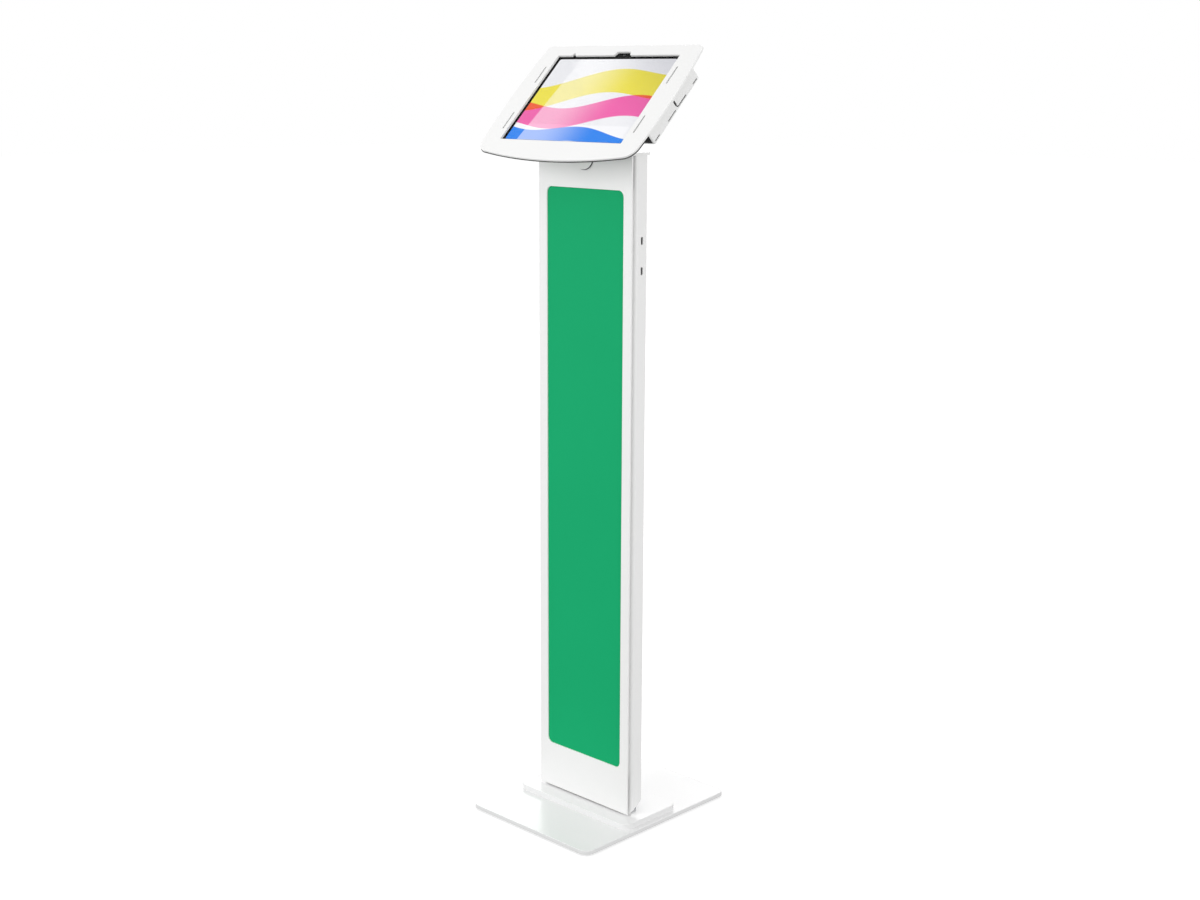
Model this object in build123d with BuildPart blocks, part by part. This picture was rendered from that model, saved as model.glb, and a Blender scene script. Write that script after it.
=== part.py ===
"""Tablet security kiosk stand: a steel base, a slim column with a framed insert,
and a lockable tablet enclosure that faces up at 45 degrees and turns on a hollow pivot.

Frame: +Z up, +Y to the rear, the origin on the floor under the middle of the base.
The head has a frame of its own: x as the stand's, y up the screen, n out of the screen,
with its origin in the middle of the display window, on the front face of the front frame.
All sizes are in millimetres.
"""
import os
from math import cos, radians, sin, sqrt, tan

from build123d import *

os.makedirs("parts", exist_ok=True)

# Driving dimensions: base
base_width = 240.0
base_depth = 300.0
base_thickness = 6.0
base_corner = 14.0
base_edge_round = 0.8
foot_pad_radius = 12.0
foot_pad_height = 2.5
foot_pad_inset = 24.0
foot_plate_width = 222.0
foot_plate_depth = 113.0
foot_plate_thickness = 8.0
foot_plate_corner = 15.0
foot_plate_edge_round = 1.0

# Driving dimensions: where the column stands
column_setback = 114.0          # front edge of the base to the face of the front panel
foot_plate_lead = 26.0          # front edge of the foot plate to the face of the front panel

# Driving dimensions: column
column_width = 180.0
channel_depth = 24.0
channel_wall = 1.5
channel_corner = 5.0
channel_height = 945.0
channel_slot_width = 110.0      # open back of the channel, closed by the rear cover
cover_lift = 44.0               # open height under the rear cover, where the cable leaves
shadow_gap = 6.5                # from the back of the front panel to the channel
panel_thickness = 2.0
panel_height = 942.5
panel_lift = 2.0                # from the foot plate to the lower edge of the front panel
panel_edge_round = 0.6
window_side_border = 15.75
window_height = 828.0
window_bottom_margin = 67.8
window_corner = 9.0
insert_thickness = 2.0
insert_overlap = 3.8
insert_clearance = 0.2
rail_width = 7.0
stud_radius = 2.0
stud_length = 15.0
stud_spread = 60.0
cap_thickness = 3.5
cap_overhang = 4.0
cap_side_overhang = 0.5
cap_corner = 4.0
cable_slot_length = 56.0
cable_slot_width = 14.0
bevel_start = 3.1               # slanted lower edge above the foot plate, at its front end
bevel_angle = 33.6              # rise of that edge towards the rear, in degrees
side_slot_length = 11.0
side_slot_width = 4.0
side_slot_heights = (830.5, 789.5)      # above the foot plate

# Driving dimensions: head
head_tilt = 45.0                # screen against the horizontal, in degrees
head_forward = -7.1             # middle of the display window, behind the panel face when negative
head_height = 1019.8            # the same point above the foot plate
frame_thickness = 3.0
frame_top = 99.5
frame_bottom = 114.5            # middle of the bowed lower edge
frame_bottom_ends = 100.4       # the same edge at its two ends
frame_widest = -5.0             # height of the widest place of the frame
frame_half_top = 146.5
frame_half_middle = 153.5
frame_half_bottom = 147.5
frame_top_corner = 10.0
frame_bottom_corner = 20.0
frame_edge_round = 1.1
display_window_width = 231.6
display_window_height = 161.0
display_window_corner = 1.5
camera_notch_x = 9.0
camera_notch_base = 33.0
camera_notch_top = 24.0
camera_notch_height = 6.5
sensor_notch_x = -85.0
sensor_notch_base = 9.0
sensor_notch_height = 5.5
frame_slot_x = 125.0
frame_slot_length = 32.0
frame_slot_width = 2.8
frame_slot_upper = 43.0
frame_slot_lower = -45.5

tray_width = 260.0
tray_height = 186.0
tray_wall = 1.5
tray_rim_gap = 0.2              # from the back of the front frame to the rim of the tray
tray_depth = 9.3
tray_corner = 8.0
tray_cable_port_length = 16.0
tray_cable_port_height = 6.0
tray_screw_spread = 80.0

box_height = 124.0
box_centre = 16.0               # above the middle of the display window, along the screen
box_depth = 25.5
box_wall = 1.5
box_corner = 6.0
box_foot_corner = 2.5
box_rear_round = 2.0
box_lip = 8.0
tether_slot_y = 18.1            # wide arm of the hook-shaped slot in the right side wall
tether_slot_level = -27.2
tether_slot_length = 8.6
tether_slot_width = 3.6
hook_radius = 3.5
hook_width = 2.0
hook_end = 40.7                 # upper end of the hook's narrow arm
vent_level = -34.5
vent_width = 1.8
vent_middles = (-36.5, 2.8, 66.0)
vent_lengths = (12.0, 20.8, 11.0)
seal_x = 108.0
seal_width = 39.0
seal_height = 20.0
tray_window_width = 180.0
tray_window_height = 100.0

# Driving dimensions: tablet, a 10.9 inch one
tablet_width = 248.6
tablet_height = 179.5
tablet_thickness = 7.0
tablet_corner = 18.0
tablet_edge_round = 1.6
glass_thickness = 0.8
glass_margin = 0.9
display_width = 227.1
display_height = 157.8
display_thickness = 0.4
button_width = 3.0
button_travel = 0.3
power_button_length = 16.0
volume_button_length = 12.0

# Driving dimensions: swivel
pivot_radius = 12.0
pivot_bore = 8.0
swivel_plate_margin = 7.0       # round the outer bolts
swivel_plate_thickness = 3.0
slide_washer_radius = 48.0
slide_washer_thickness = 1.0
swivel_range = 90.0             # from landscape to portrait, in degrees
stop_pin_radius = 3.0
stop_pin_orbit = 36.0
mount_pattern_width = 75.0

# Driving dimensions: neck bracket
neck_width = 100.0
neck_plate = 4.0
neck_flange_depth = 34.0
neck_slab_bottom = 52.0         # lower end of the slanted plate, below the display window's middle
neck_slab_top = 58.0            # upper end, above it
gusset_reach = 62.0
tongue_width = 35.0
tongue_thickness = 3.0
tongue_end = 21.0               # how far the tongue laps over the front panel
tongue_stud_drop = 9.0          # its stud, below the upper edge of the front panel
tongue_spacer_radius = 6.0

# Driving dimensions: hinge, hasp and lock
hinge_barrel_radius = 2.6
hinge_pin_radius = 1.5
hinge_axis_height = 96.2
hinge_axis_level = -6.2
hinge_spread = 85.0
knuckle_length = 12.0
lock_x = -114.2
lock_level = -25.7
lock_body_radius = 7.0
lock_plug_radius = 4.8
lock_body_length = 29.0
lock_nut_radius = 9.0
lock_nut_thickness = 4.0
lock_flange_radius = 11.5
lock_flange_thickness = 2.5
cam_reach = 13.0
cam_width = 6.0
cam_thickness = 2.0
hasp_thickness = 2.0
hasp_height = 24.0
hasp_depth = 29.0

# Driving dimensions: fasteners and fits
running_clearance = 0.06
hole_clearance = 0.2
overrun = 2.0
m3_radius = 1.5
m4_radius = 2.0
m6_radius = 3.0
m8_radius = 4.0
head_radius_share = 1.8         # button and countersunk heads against their shank
head_height_share = 0.55
socket_share = 0.8
nut_radius_share = 1.95         # half the width of a nut over its corners, against its stud
nut_height_share = 1.6
stud_reach_share = 2.5          # how far a stud comes through its sheet
screw_engagement_share = 0.9    # depth of a tapped hole that its screw fills
pin_engagement_share = 0.8

# Levels and places that follow from the driving dimensions
base_top = foot_pad_height + base_thickness
floor_of_column = base_top + foot_plate_thickness
panel_front = -base_depth / 2 + column_setback
panel_back = panel_front + panel_thickness
channel_front = panel_back + shadow_gap
channel_rear = channel_front + channel_depth
channel_middle = (channel_front + channel_rear) / 2
channel_inner_front = channel_front + channel_wall
channel_inner_rear = channel_rear - channel_wall
foot_plate_middle = panel_front - foot_plate_lead + foot_plate_depth / 2
panel_bottom = floor_of_column + panel_lift
panel_top = panel_bottom + panel_height
channel_top = floor_of_column + channel_height
cap_top = channel_top + cap_thickness
window_width = column_width - 2 * window_side_border
window_bottom = panel_bottom + window_bottom_margin
window_middle = window_bottom + window_height / 2
head_y = panel_front - head_forward
head_z = floor_of_column + head_height

head = Plane(
    origin=(0, head_y, head_z),
    x_dir=(1, 0, 0),
    z_dir=(0, -sin(radians(head_tilt)), cos(radians(head_tilt))),
)

frame_rear = -frame_thickness
tray_front = frame_rear - tray_rim_gap
tray_rear = tray_front - tray_depth
tray_floor = tray_rear + tray_wall
box_front = tray_rear
box_rear = box_front - box_depth
box_inner_rear = box_rear + box_wall
box_bottom = box_centre - box_height / 2
box_top = box_centre + box_height / 2
swivel_plate_front = box_rear
swivel_plate_rear = swivel_plate_front - swivel_plate_thickness
slab_front = swivel_plate_rear - slide_washer_thickness
slab_rear = slab_front - neck_plate
tablet_front = tray_front - 0.5 * tray_rim_gap
tablet_rear = tablet_front - tablet_thickness


def head_plane(x=0.0, y=0.0, n=0.0, facing="n"):
    """A plane at a point of the head, facing out of the screen (n), up it (y) or across it (x)."""
    origin = head.from_local_coords(Vector(x, y, n))
    if facing == "n":
        return Plane(origin=origin, x_dir=head.x_dir, z_dir=head.z_dir)
    if facing == "y":
        return Plane(origin=origin, x_dir=head.x_dir, z_dir=head.y_dir)
    return Plane(origin=origin, x_dir=head.y_dir, z_dir=head.x_dir)


def save(piece, label):
    """Label a finished piece and write it to its own file."""
    piece.part.label = label
    export_step(piece.part, f"parts/{label}.step")


def screw(place, shank_radius, length, countersunk=False):
    """A screw: the seat of its head lies on the plane, its shank runs along the plane's -z."""
    head_radius = shank_radius * head_radius_share
    head_height = 2 * shank_radius * head_height_share
    with BuildPart() as one_screw:
        with BuildSketch(place):
            Circle(shank_radius)
        extrude(amount=-length)
        with BuildSketch(place):
            Circle(head_radius)
        if countersunk:
            extrude(amount=-(head_radius - shank_radius), taper=45)
            socket = place
        else:
            extrude(amount=head_height)
            socket = place.offset(head_height)
        with BuildSketch(socket):
            RegularPolygon(shank_radius * socket_share, 6)
        extrude(amount=-head_height / 2, mode=Mode.SUBTRACT)
    return one_screw.part


def screw_hole(place, shank_radius, length, countersunk=False):
    """The clearance hole for such a screw."""
    with BuildPart() as one_hole:
        with BuildSketch(place):
            Circle(shank_radius + hole_clearance)
        extrude(amount=-length)
        if countersunk:
            wide = shank_radius * head_radius_share + hole_clearance
            with BuildSketch(place):
                Circle(wide)
            extrude(amount=-(wide - shank_radius), taper=45)
    return one_hole.part


# Base plate, its rubber feet and the screws from below
base_screw_places = [
    (x, foot_plate_middle + y)
    for x in (-foot_plate_width / 2 + foot_pad_inset, foot_plate_width / 2 - foot_pad_inset)
    for y in (-foot_plate_depth / 2 + foot_plate_corner, foot_plate_depth / 2 - foot_plate_corner)
]
root_bolt_places = [(x, channel_middle) for x in (-stud_spread, 0.0, stud_spread)]
base_screw_length = base_thickness + foot_plate_thickness / 2
root_plate_thickness = 5.0
root_bolt_length = base_thickness + foot_plate_thickness + root_plate_thickness

with BuildPart() as base_plate:
    with BuildSketch(Plane.XY.offset(foot_pad_height)):
        RectangleRounded(base_width, base_depth, base_corner)
    extrude(amount=base_thickness)
    fillet(base_plate.faces().sort_by(Axis.Z)[-1].edges(), base_edge_round)
    for x, y in base_screw_places:
        below = Plane(origin=(x, y, foot_pad_height), z_dir=(0, 0, -1))
        add(screw_hole(below, m6_radius, base_thickness, countersunk=True), mode=Mode.SUBTRACT)
    for x, y in root_bolt_places:
        below = Plane(origin=(x, y, foot_pad_height), z_dir=(0, 0, -1))
        add(screw_hole(below, m8_radius, base_thickness, countersunk=True), mode=Mode.SUBTRACT)
save(base_plate, "base_plate")

with BuildPart() as foot_plate:
    with BuildSketch(Plane.XY.offset(base_top)):
        with Locations((0, foot_plate_middle)):
            RectangleRounded(foot_plate_width, foot_plate_depth, foot_plate_corner)
    extrude(amount=foot_plate_thickness)
    fillet(foot_plate.faces().sort_by(Axis.Z)[-1].edges(), foot_plate_edge_round)
    with BuildSketch(Plane.XY.offset(base_top)):
        with Locations(*base_screw_places):
            Circle(m6_radius + hole_clearance)
    extrude(amount=foot_plate_thickness / 2 + hole_clearance, mode=Mode.SUBTRACT)
    with BuildSketch(Plane.XY.offset(base_top)):
        with Locations(*root_bolt_places):
            Circle(m8_radius + hole_clearance)
    extrude(amount=foot_plate_thickness, mode=Mode.SUBTRACT)
save(foot_plate, "foot_plate")

with BuildPart() as rubber_feet:
    with BuildSketch():
        with GridLocations(base_width - 2 * foot_pad_inset, base_depth - 2 * foot_pad_inset, 2, 2):
            Circle(foot_pad_radius)
    extrude(amount=foot_pad_height)
    chamfer(rubber_feet.faces().group_by(Axis.Z)[0].edges(), foot_pad_height / 4)
save(rubber_feet, "rubber_feet")

with BuildPart() as base_screws:
    for x, y in base_screw_places:
        below = Plane(origin=(x, y, foot_pad_height), z_dir=(0, 0, -1))
        add(screw(below, m6_radius, base_screw_length, countersunk=True))
save(base_screws, "base_screws")

with BuildPart() as root_bolts:
    for x, y in root_bolt_places:
        below = Plane(origin=(x, y, foot_pad_height), z_dir=(0, 0, -1))
        add(screw(below, m8_radius, root_bolt_length, countersunk=True))
save(root_bolts, "root_bolts")

# Root of the column: an angle inside the channel, bolted down from below
root_height = 120.0
root_side_gap = 8.0
root_width = column_width - 2 * (channel_wall + root_side_gap)
root_screw_shares = (0.45, 0.8)
root_front = channel_inner_front
root_depth = channel_inner_rear - channel_inner_front - channel_wall
lower_stud_height = panel_bottom + window_bottom_margin / 2
root_screw_places = [
    (x, floor_of_column + root_height * share)
    for x in (-stud_spread, stud_spread)
    for share in root_screw_shares
]

with BuildPart() as column_root:
    with BuildSketch(Plane.YZ.offset(-root_width / 2)):
        with BuildLine():
            Polyline(
                (root_front, floor_of_column),
                (root_front + root_depth, floor_of_column),
                (root_front + root_depth, floor_of_column + root_plate_thickness),
                (root_front + root_plate_thickness, floor_of_column + root_plate_thickness),
                (root_front + root_plate_thickness, floor_of_column + root_height),
                (root_front, floor_of_column + root_height),
                close=True,
            )
        make_face()
    extrude(amount=root_width)
    inner_bend = column_root.edges().filter_by(Axis.X).sort_by_distance(
        (0, root_front + root_plate_thickness, floor_of_column + root_plate_thickness)
    )[0]
    fillet(inner_bend, channel_wall)
    with BuildSketch(Plane.XY.offset(floor_of_column)):
        with Locations(*root_bolt_places):
            Circle(m8_radius + hole_clearance)
    extrude(amount=root_plate_thickness, mode=Mode.SUBTRACT)
    for x, z in root_screw_places:
        ahead = Plane(origin=(x, root_front, z), z_dir=(0, -1, 0))
        add(screw_hole(ahead, m4_radius, root_plate_thickness), mode=Mode.SUBTRACT)
    for x in (-stud_spread, stud_spread):
        with BuildSketch(Plane(origin=(x, root_front, lower_stud_height), z_dir=(0, 1, 0))):
            Circle(nut_radius_share * stud_radius + channel_wall)
        extrude(amount=root_plate_thickness, mode=Mode.SUBTRACT)
save(column_root, "column_root")

# Channel: a folded steel duct, open at the back, with a slanted lower edge
channel_inner_width = column_width - 2 * channel_wall
tongue_stud_height = panel_top - tongue_stud_drop
panel_stud_places = [
    (x, z)
    for x in (-stud_spread, stud_spread)
    for z in (lower_stud_height, panel_top - rail_width * 2)
]
cover_screw_x = (channel_slot_width / 2 + column_width / 2 - channel_corner) / 2 - channel_wall
cover_bottom = floor_of_column + cover_lift
cover_top = channel_top - channel_corner
cover_screw_shares = (0.04, 0.35, 0.65, 0.96)
cover_screw_heights = [cover_bottom + (cover_top - cover_bottom) * share for share in cover_screw_shares]
bevel_slope = tan(radians(bevel_angle))
bevel_low = floor_of_column + bevel_start
bevel_high = bevel_low + (channel_depth - channel_wall + overrun) * bevel_slope

with BuildPart() as column_channel:
    with BuildSketch(Plane.XY.offset(floor_of_column)):
        with Locations((0, channel_middle)):
            RectangleRounded(column_width, channel_depth, channel_corner)
            RectangleRounded(
                channel_inner_width,
                channel_depth - 2 * channel_wall,
                channel_corner - channel_wall,
                mode=Mode.SUBTRACT,
            )
        with Locations((0, channel_rear)):
            Rectangle(channel_slot_width, 2 * channel_wall + overrun, mode=Mode.SUBTRACT)
    extrude(amount=channel_height)
    with BuildSketch(Plane.YZ.offset(-column_width / 2 - overrun)):
        with BuildLine():
            Polyline(
                (channel_inner_front, floor_of_column - overrun),
                (channel_rear + overrun, floor_of_column - overrun),
                (channel_rear + overrun, bevel_high),
                (channel_inner_front, bevel_low),
                close=True,
            )
        make_face()
    extrude(amount=column_width + 2 * overrun, mode=Mode.SUBTRACT)
    with BuildSketch(Plane.YZ.offset(-column_width / 2 - overrun)):
        for height in side_slot_heights:
            with Locations((channel_middle, floor_of_column + height)):
                SlotOverall(side_slot_length, side_slot_width, rotation=90)
    extrude(amount=column_width + 2 * overrun, mode=Mode.SUBTRACT)
    for x, z in panel_stud_places:
        ahead = Plane(origin=(x, channel_front, z), z_dir=(0, -1, 0))
        add(screw_hole(ahead, stud_radius, channel_wall), mode=Mode.SUBTRACT)
    for x, z in root_screw_places:
        ahead = Plane(origin=(x, channel_front, z), z_dir=(0, -1, 0))
        add(screw_hole(ahead, m4_radius, channel_wall), mode=Mode.SUBTRACT)
    tongue_hole = Plane(origin=(0, channel_front, tongue_stud_height), z_dir=(0, -1, 0))
    add(screw_hole(tongue_hole, m6_radius, channel_wall), mode=Mode.SUBTRACT)
    for x in (-cover_screw_x, cover_screw_x):
        for z in cover_screw_heights:
            behind = Plane(origin=(x, channel_rear, z), z_dir=(0, 1, 0))
            add(screw_hole(behind, m4_radius, channel_wall), mode=Mode.SUBTRACT)
save(column_channel, "column_channel")

with BuildPart() as root_screws:
    for x, z in root_screw_places:
        ahead = Plane(origin=(x, channel_front, z), z_dir=(0, -1, 0))
        add(screw(ahead, m4_radius, channel_wall + root_plate_thickness))
save(root_screws, "root_screws")

# Rear cover of the cable duct: two strips under it centre it in the open back, and screws hold it
cover_width = 2 * cover_screw_x + 4 * m4_radius * head_radius_share
cover_clip_depth = 8.0
with BuildPart() as rear_cover:
    with BuildSketch(Plane.XZ.offset(-channel_rear)):
        with Locations((0, (cover_bottom + cover_top) / 2)):
            RectangleRounded(cover_width, cover_top - cover_bottom, channel_corner)
    extrude(amount=-channel_wall)
    with BuildSketch(Plane.XZ.offset(-channel_rear - channel_wall - overrun)):
        with Locations((0, cover_bottom)):
            SlotOverall(3 * cable_slot_width, 2 * cable_slot_width)
    extrude(amount=channel_wall + 2 * overrun, mode=Mode.SUBTRACT)
    for x in (-cover_screw_x, cover_screw_x):
        for z in cover_screw_heights:
            behind = Plane(origin=(x, channel_rear + channel_wall, z), z_dir=(0, 1, 0))
            add(screw_hole(behind, m4_radius, channel_wall), mode=Mode.SUBTRACT)
save(rear_cover, "rear_cover")

with BuildPart() as cover_clips:
    with BuildSketch(Plane.XY.offset(cover_bottom + channel_corner)):
        for side in (-1, 1):
            clip_x = side * (channel_slot_width / 2 - channel_wall / 2 - hole_clearance)
            with Locations((clip_x, channel_rear - cover_clip_depth / 2)):
                Rectangle(channel_wall, cover_clip_depth)
    extrude(amount=cover_top - cover_bottom - 2 * channel_corner)
save(cover_clips, "cover_clips")

with BuildPart() as cover_screws:
    for x in (-cover_screw_x, cover_screw_x):
        for z in cover_screw_heights:
            behind = Plane(origin=(x, channel_rear + channel_wall, z), z_dir=(0, 1, 0))
            add(screw(behind, m4_radius, 4 * channel_wall))
save(cover_screws, "cover_screws")

# Front panel with its window, held off the channel by spacers on welded studs
with BuildPart() as front_panel:
    with BuildSketch(Plane.XZ.offset(-panel_back)):
        with Locations((0, (panel_bottom + panel_top) / 2)):
            Rectangle(column_width, panel_height)
    extrude(amount=panel_thickness)
    with BuildSketch(Plane.XZ.offset(-panel_back - overrun)):
        with Locations((0, window_middle)):
            RectangleRounded(window_width, window_height, window_corner)
    extrude(amount=panel_thickness + 2 * overrun, mode=Mode.SUBTRACT)
    fillet(front_panel.faces().sort_by(Axis.Y)[0].edges(), panel_edge_round)
    for x, z in panel_stud_places:
        with BuildSketch(Plane(origin=(x, panel_back, z), z_dir=(0, 1, 0))):
            Circle(stud_radius)
        extrude(amount=stud_length)
    tongue_bolt_hole = Plane(origin=(0, panel_front, tongue_stud_height), z_dir=(0, -1, 0))
    add(screw_hole(tongue_bolt_hole, m6_radius, panel_thickness), mode=Mode.SUBTRACT)
save(front_panel, "front_panel")

with BuildPart() as panel_spacers:
    for x, z in panel_stud_places:
        with BuildSketch(Plane(origin=(x, panel_back, z), z_dir=(0, 1, 0))):
            Circle(2 * stud_radius)
            Circle(stud_radius + hole_clearance, mode=Mode.SUBTRACT)
        extrude(amount=shadow_gap)
save(panel_spacers, "panel_spacers")

with BuildPart() as panel_nuts:
    for x, z in panel_stud_places:
        with BuildSketch(Plane(origin=(x, channel_inner_front, z), z_dir=(0, 1, 0))):
            RegularPolygon(nut_radius_share * stud_radius, 6)
            Circle(stud_radius + hole_clearance, mode=Mode.SUBTRACT)
        extrude(amount=nut_height_share * stud_radius)
save(panel_nuts, "panel_nuts")

# Insert and the rails that it slides in
insert_width = window_width + 2 * insert_overlap
insert_height = window_height + 2 * insert_overlap
insert_front = panel_back + insert_clearance / 2
rail_inset_share = 0.2          # of the insert's overlap, from the window's edge to the rail
rail_inner = window_width / 2 + rail_inset_share * insert_overlap
rail_bottom = window_bottom - insert_overlap - rail_width
rail_top = window_bottom + window_height + insert_overlap
groove_depth = insert_thickness + insert_clearance

with BuildPart() as graphic_insert:
    with BuildSketch(Plane.XZ.offset(-insert_front - insert_thickness)):
        with Locations((0, window_middle)):
            RectangleRounded(insert_width, insert_height, insert_thickness)
    extrude(amount=insert_thickness)
save(graphic_insert, "graphic_insert")

for side, label in ((-1, "insert_rail_left"), (1, "insert_rail_right")):
    with BuildPart() as insert_rail:
        with BuildSketch(Plane.XY.offset(rail_bottom)):
            with Locations((side * (rail_inner + rail_width / 2), (panel_back + channel_front) / 2)):
                Rectangle(rail_width, shadow_gap)
        extrude(amount=rail_top - rail_bottom)
        with BuildSketch(Plane.XY.offset(rail_bottom)):
            groove_end = insert_width / 2 + insert_clearance
            groove_middle = side * (rail_inner + groove_end) / 2
            with Locations((groove_middle, panel_back + groove_depth / 2)):
                Rectangle(groove_end - rail_inner, groove_depth)
        extrude(amount=rail_top - rail_bottom, mode=Mode.SUBTRACT)
    save(insert_rail, label)

with BuildPart() as insert_stop:
    with BuildSketch(Plane.XZ.offset(-channel_front)):
        with Locations((0, rail_bottom + rail_width / 2 - insert_clearance)):
            Rectangle(2 * rail_inner - insert_clearance, rail_width)
    extrude(amount=shadow_gap)
save(insert_stop, "insert_stop")

# Top plate welded into the channel, top cap and the screws of the neck
top_plate_thickness = 3.0
neck_screw_share = 0.4          # of the bracket's width, from its middle to a screw
neck_screw_places = [
    (side_x * neck_screw_share * neck_width, channel_middle + side_y * channel_depth / 5)
    for side_x in (-1, 1)
    for side_y in (-1, 1)
]
cap_depth = channel_rear + cap_overhang - panel_front

with BuildPart() as top_plate:
    with BuildSketch(Plane.XY.offset(channel_top - top_plate_thickness)):
        with Locations((0, channel_middle)):
            RectangleRounded(
                channel_inner_width - insert_clearance,
                channel_depth - 2 * channel_wall - insert_clearance,
                channel_corner - channel_wall,
            )
            SlotOverall(cable_slot_length, cable_slot_width, mode=Mode.SUBTRACT)
        with Locations(*neck_screw_places):
            Circle(m4_radius + hole_clearance, mode=Mode.SUBTRACT)
    extrude(amount=top_plate_thickness)
save(top_plate, "top_plate")

with BuildPart() as top_cap:
    with BuildSketch(Plane.XY.offset(channel_top)):
        with Locations((0, panel_front + cap_depth / 2)):
            RectangleRounded(column_width + 2 * cap_side_overhang, cap_depth, cap_corner)
        with Locations((0, channel_middle)):
            SlotOverall(cable_slot_length, cable_slot_width, mode=Mode.SUBTRACT)
        with Locations(*neck_screw_places):
            Circle(m4_radius + hole_clearance, mode=Mode.SUBTRACT)
    extrude(amount=cap_thickness)
    fillet(top_cap.faces().sort_by(Axis.Z)[-1].outer_wire().edges(), panel_edge_round)
save(top_cap, "top_cap")

# Neck bracket: foot flange, slanted plate, two gussets and the tongue over the front panel
slab_length = neck_slab_bottom + neck_slab_top
stud_reach = channel_inner_front - panel_front + stud_reach_share * m6_radius
gusset_top = gusset_reach - neck_slab_bottom / 2


def head_point(y, n):
    """Y and Z, in the stand's frame, of a point of the head's middle plane."""
    point = head.from_local_coords(Vector(0, y, n))
    return point.Y, point.Z


with BuildPart() as neck_bracket:
    with BuildSketch(Plane.XY.offset(cap_top)):
        with Locations((0, panel_front + neck_flange_depth / 2)):
            Rectangle(neck_width, neck_flange_depth)
        with Locations((0, panel_front)):
            Rectangle(tongue_width, 2 * tongue_thickness)
    extrude(amount=neck_plate)
    with BuildSketch(head_plane(0, (neck_slab_top - neck_slab_bottom) / 2, slab_rear)):
        RectangleRounded(neck_width, slab_length, neck_plate / 2)
    extrude(amount=neck_plate)
    with BuildSketch(Plane.YZ.offset(-neck_width / 2)):
        with BuildLine():
            Polyline(
                (panel_front + neck_plate, cap_top + neck_plate / 2),
                (panel_front + neck_flange_depth, cap_top + neck_plate / 2),
                head_point(gusset_top, slab_rear + neck_plate / 2),
                head_point(neck_plate - neck_slab_bottom, slab_rear + neck_plate / 2),
                close=True,
            )
        make_face()
    extrude(amount=neck_plate)
    mirror(about=Plane.YZ)
    with BuildSketch(Plane.XZ.offset(-panel_front)):
        tongue_centre = panel_top - tongue_end + tongue_width / 2
        tongue_top = cap_top + neck_plate / 2
        with Locations((0, tongue_centre)):
            Circle(tongue_width / 2)
        with Locations((0, tongue_centre + tongue_width / 2)):
            Rectangle(tongue_width, tongue_width, mode=Mode.SUBTRACT)
        with Locations((0, (tongue_centre + tongue_top) / 2)):
            Rectangle(tongue_width, tongue_top - tongue_centre)
    extrude(amount=tongue_thickness)
    with BuildSketch(Plane(origin=(0, panel_front, tongue_stud_height), z_dir=(0, 1, 0))):
        Circle(m6_radius)
    extrude(amount=stud_reach)
    with BuildSketch(Plane.XY.offset(cap_top)):
        with Locations((0, channel_middle)):
            SlotOverall(cable_slot_length, cable_slot_width)
        with Locations(*neck_screw_places):
            Circle(m4_radius + hole_clearance)
    extrude(amount=neck_plate, mode=Mode.SUBTRACT)
    with BuildSketch(head_plane(0, box_centre, slab_rear)):
        Circle(pivot_radius + running_clearance)
        with PolarLocations(stop_pin_orbit, 1, swivel_range / 2):
            Circle(stop_pin_radius + running_clearance)
    extrude(amount=neck_plate, mode=Mode.SUBTRACT)
save(neck_bracket, "neck_bracket")

with BuildPart() as neck_screws:
    for x, y in neck_screw_places:
        above = Plane(origin=(x, y, cap_top + neck_plate), z_dir=(0, 0, 1))
        add(screw(above, m4_radius, neck_plate + cap_thickness + top_plate_thickness + channel_wall))
save(neck_screws, "neck_screws")

with BuildPart() as tongue_spacer:
    with BuildSketch(Plane(origin=(0, panel_back, tongue_stud_height), z_dir=(0, 1, 0))):
        Circle(tongue_spacer_radius)
        Circle(m6_radius + hole_clearance, mode=Mode.SUBTRACT)
    extrude(amount=shadow_gap)
save(tongue_spacer, "tongue_spacer")

with BuildPart() as tongue_nut:
    with BuildSketch(Plane(origin=(0, channel_inner_front, tongue_stud_height), z_dir=(0, 1, 0))):
        RegularPolygon(nut_radius_share * m6_radius, 6)
        Circle(m6_radius + hole_clearance, mode=Mode.SUBTRACT)
    extrude(amount=nut_height_share * m6_radius)
save(tongue_nut, "tongue_nut")

# Swivel: a plate on the rear box turns on a hollow bush between washers; a pin in its arc slot stops it
swivel_plate_radius = mount_pattern_width / sqrt(2) + swivel_plate_margin
wave_washer_thickness = 1.2
ring_nut_radius = 19.0
ring_nut_thickness = 5.0
bush_flange_radius = 20.0
bush_flange_thickness = 2.5
ring_nut_front = slab_rear - wave_washer_thickness
ring_nut_rear = ring_nut_front - ring_nut_thickness
bush_end_lead = 1.0             # how far the bush comes through its nut
bush_rear = ring_nut_rear - bush_end_lead
spanner_notch = 4.0

with BuildPart() as slide_washer:
    with BuildSketch(head_plane(0, box_centre, slab_front)):
        Circle(slide_washer_radius)
        Circle(pivot_radius + hole_clearance, mode=Mode.SUBTRACT)
        with PolarLocations(stop_pin_orbit, 1, swivel_range / 2):
            Circle(stop_pin_radius + hole_clearance, mode=Mode.SUBTRACT)
    extrude(amount=slide_washer_thickness)
save(slide_washer, "slide_washer")

with BuildPart() as stop_pin:
    with BuildSketch(head_plane(0, box_centre, slab_rear)):
        with PolarLocations(stop_pin_orbit, 1, swivel_range / 2):
            Circle(stop_pin_radius)
    pin_engagement = swivel_plate_thickness * pin_engagement_share
    extrude(amount=neck_plate + slide_washer_thickness + pin_engagement)
save(stop_pin, "stop_pin")

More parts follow.
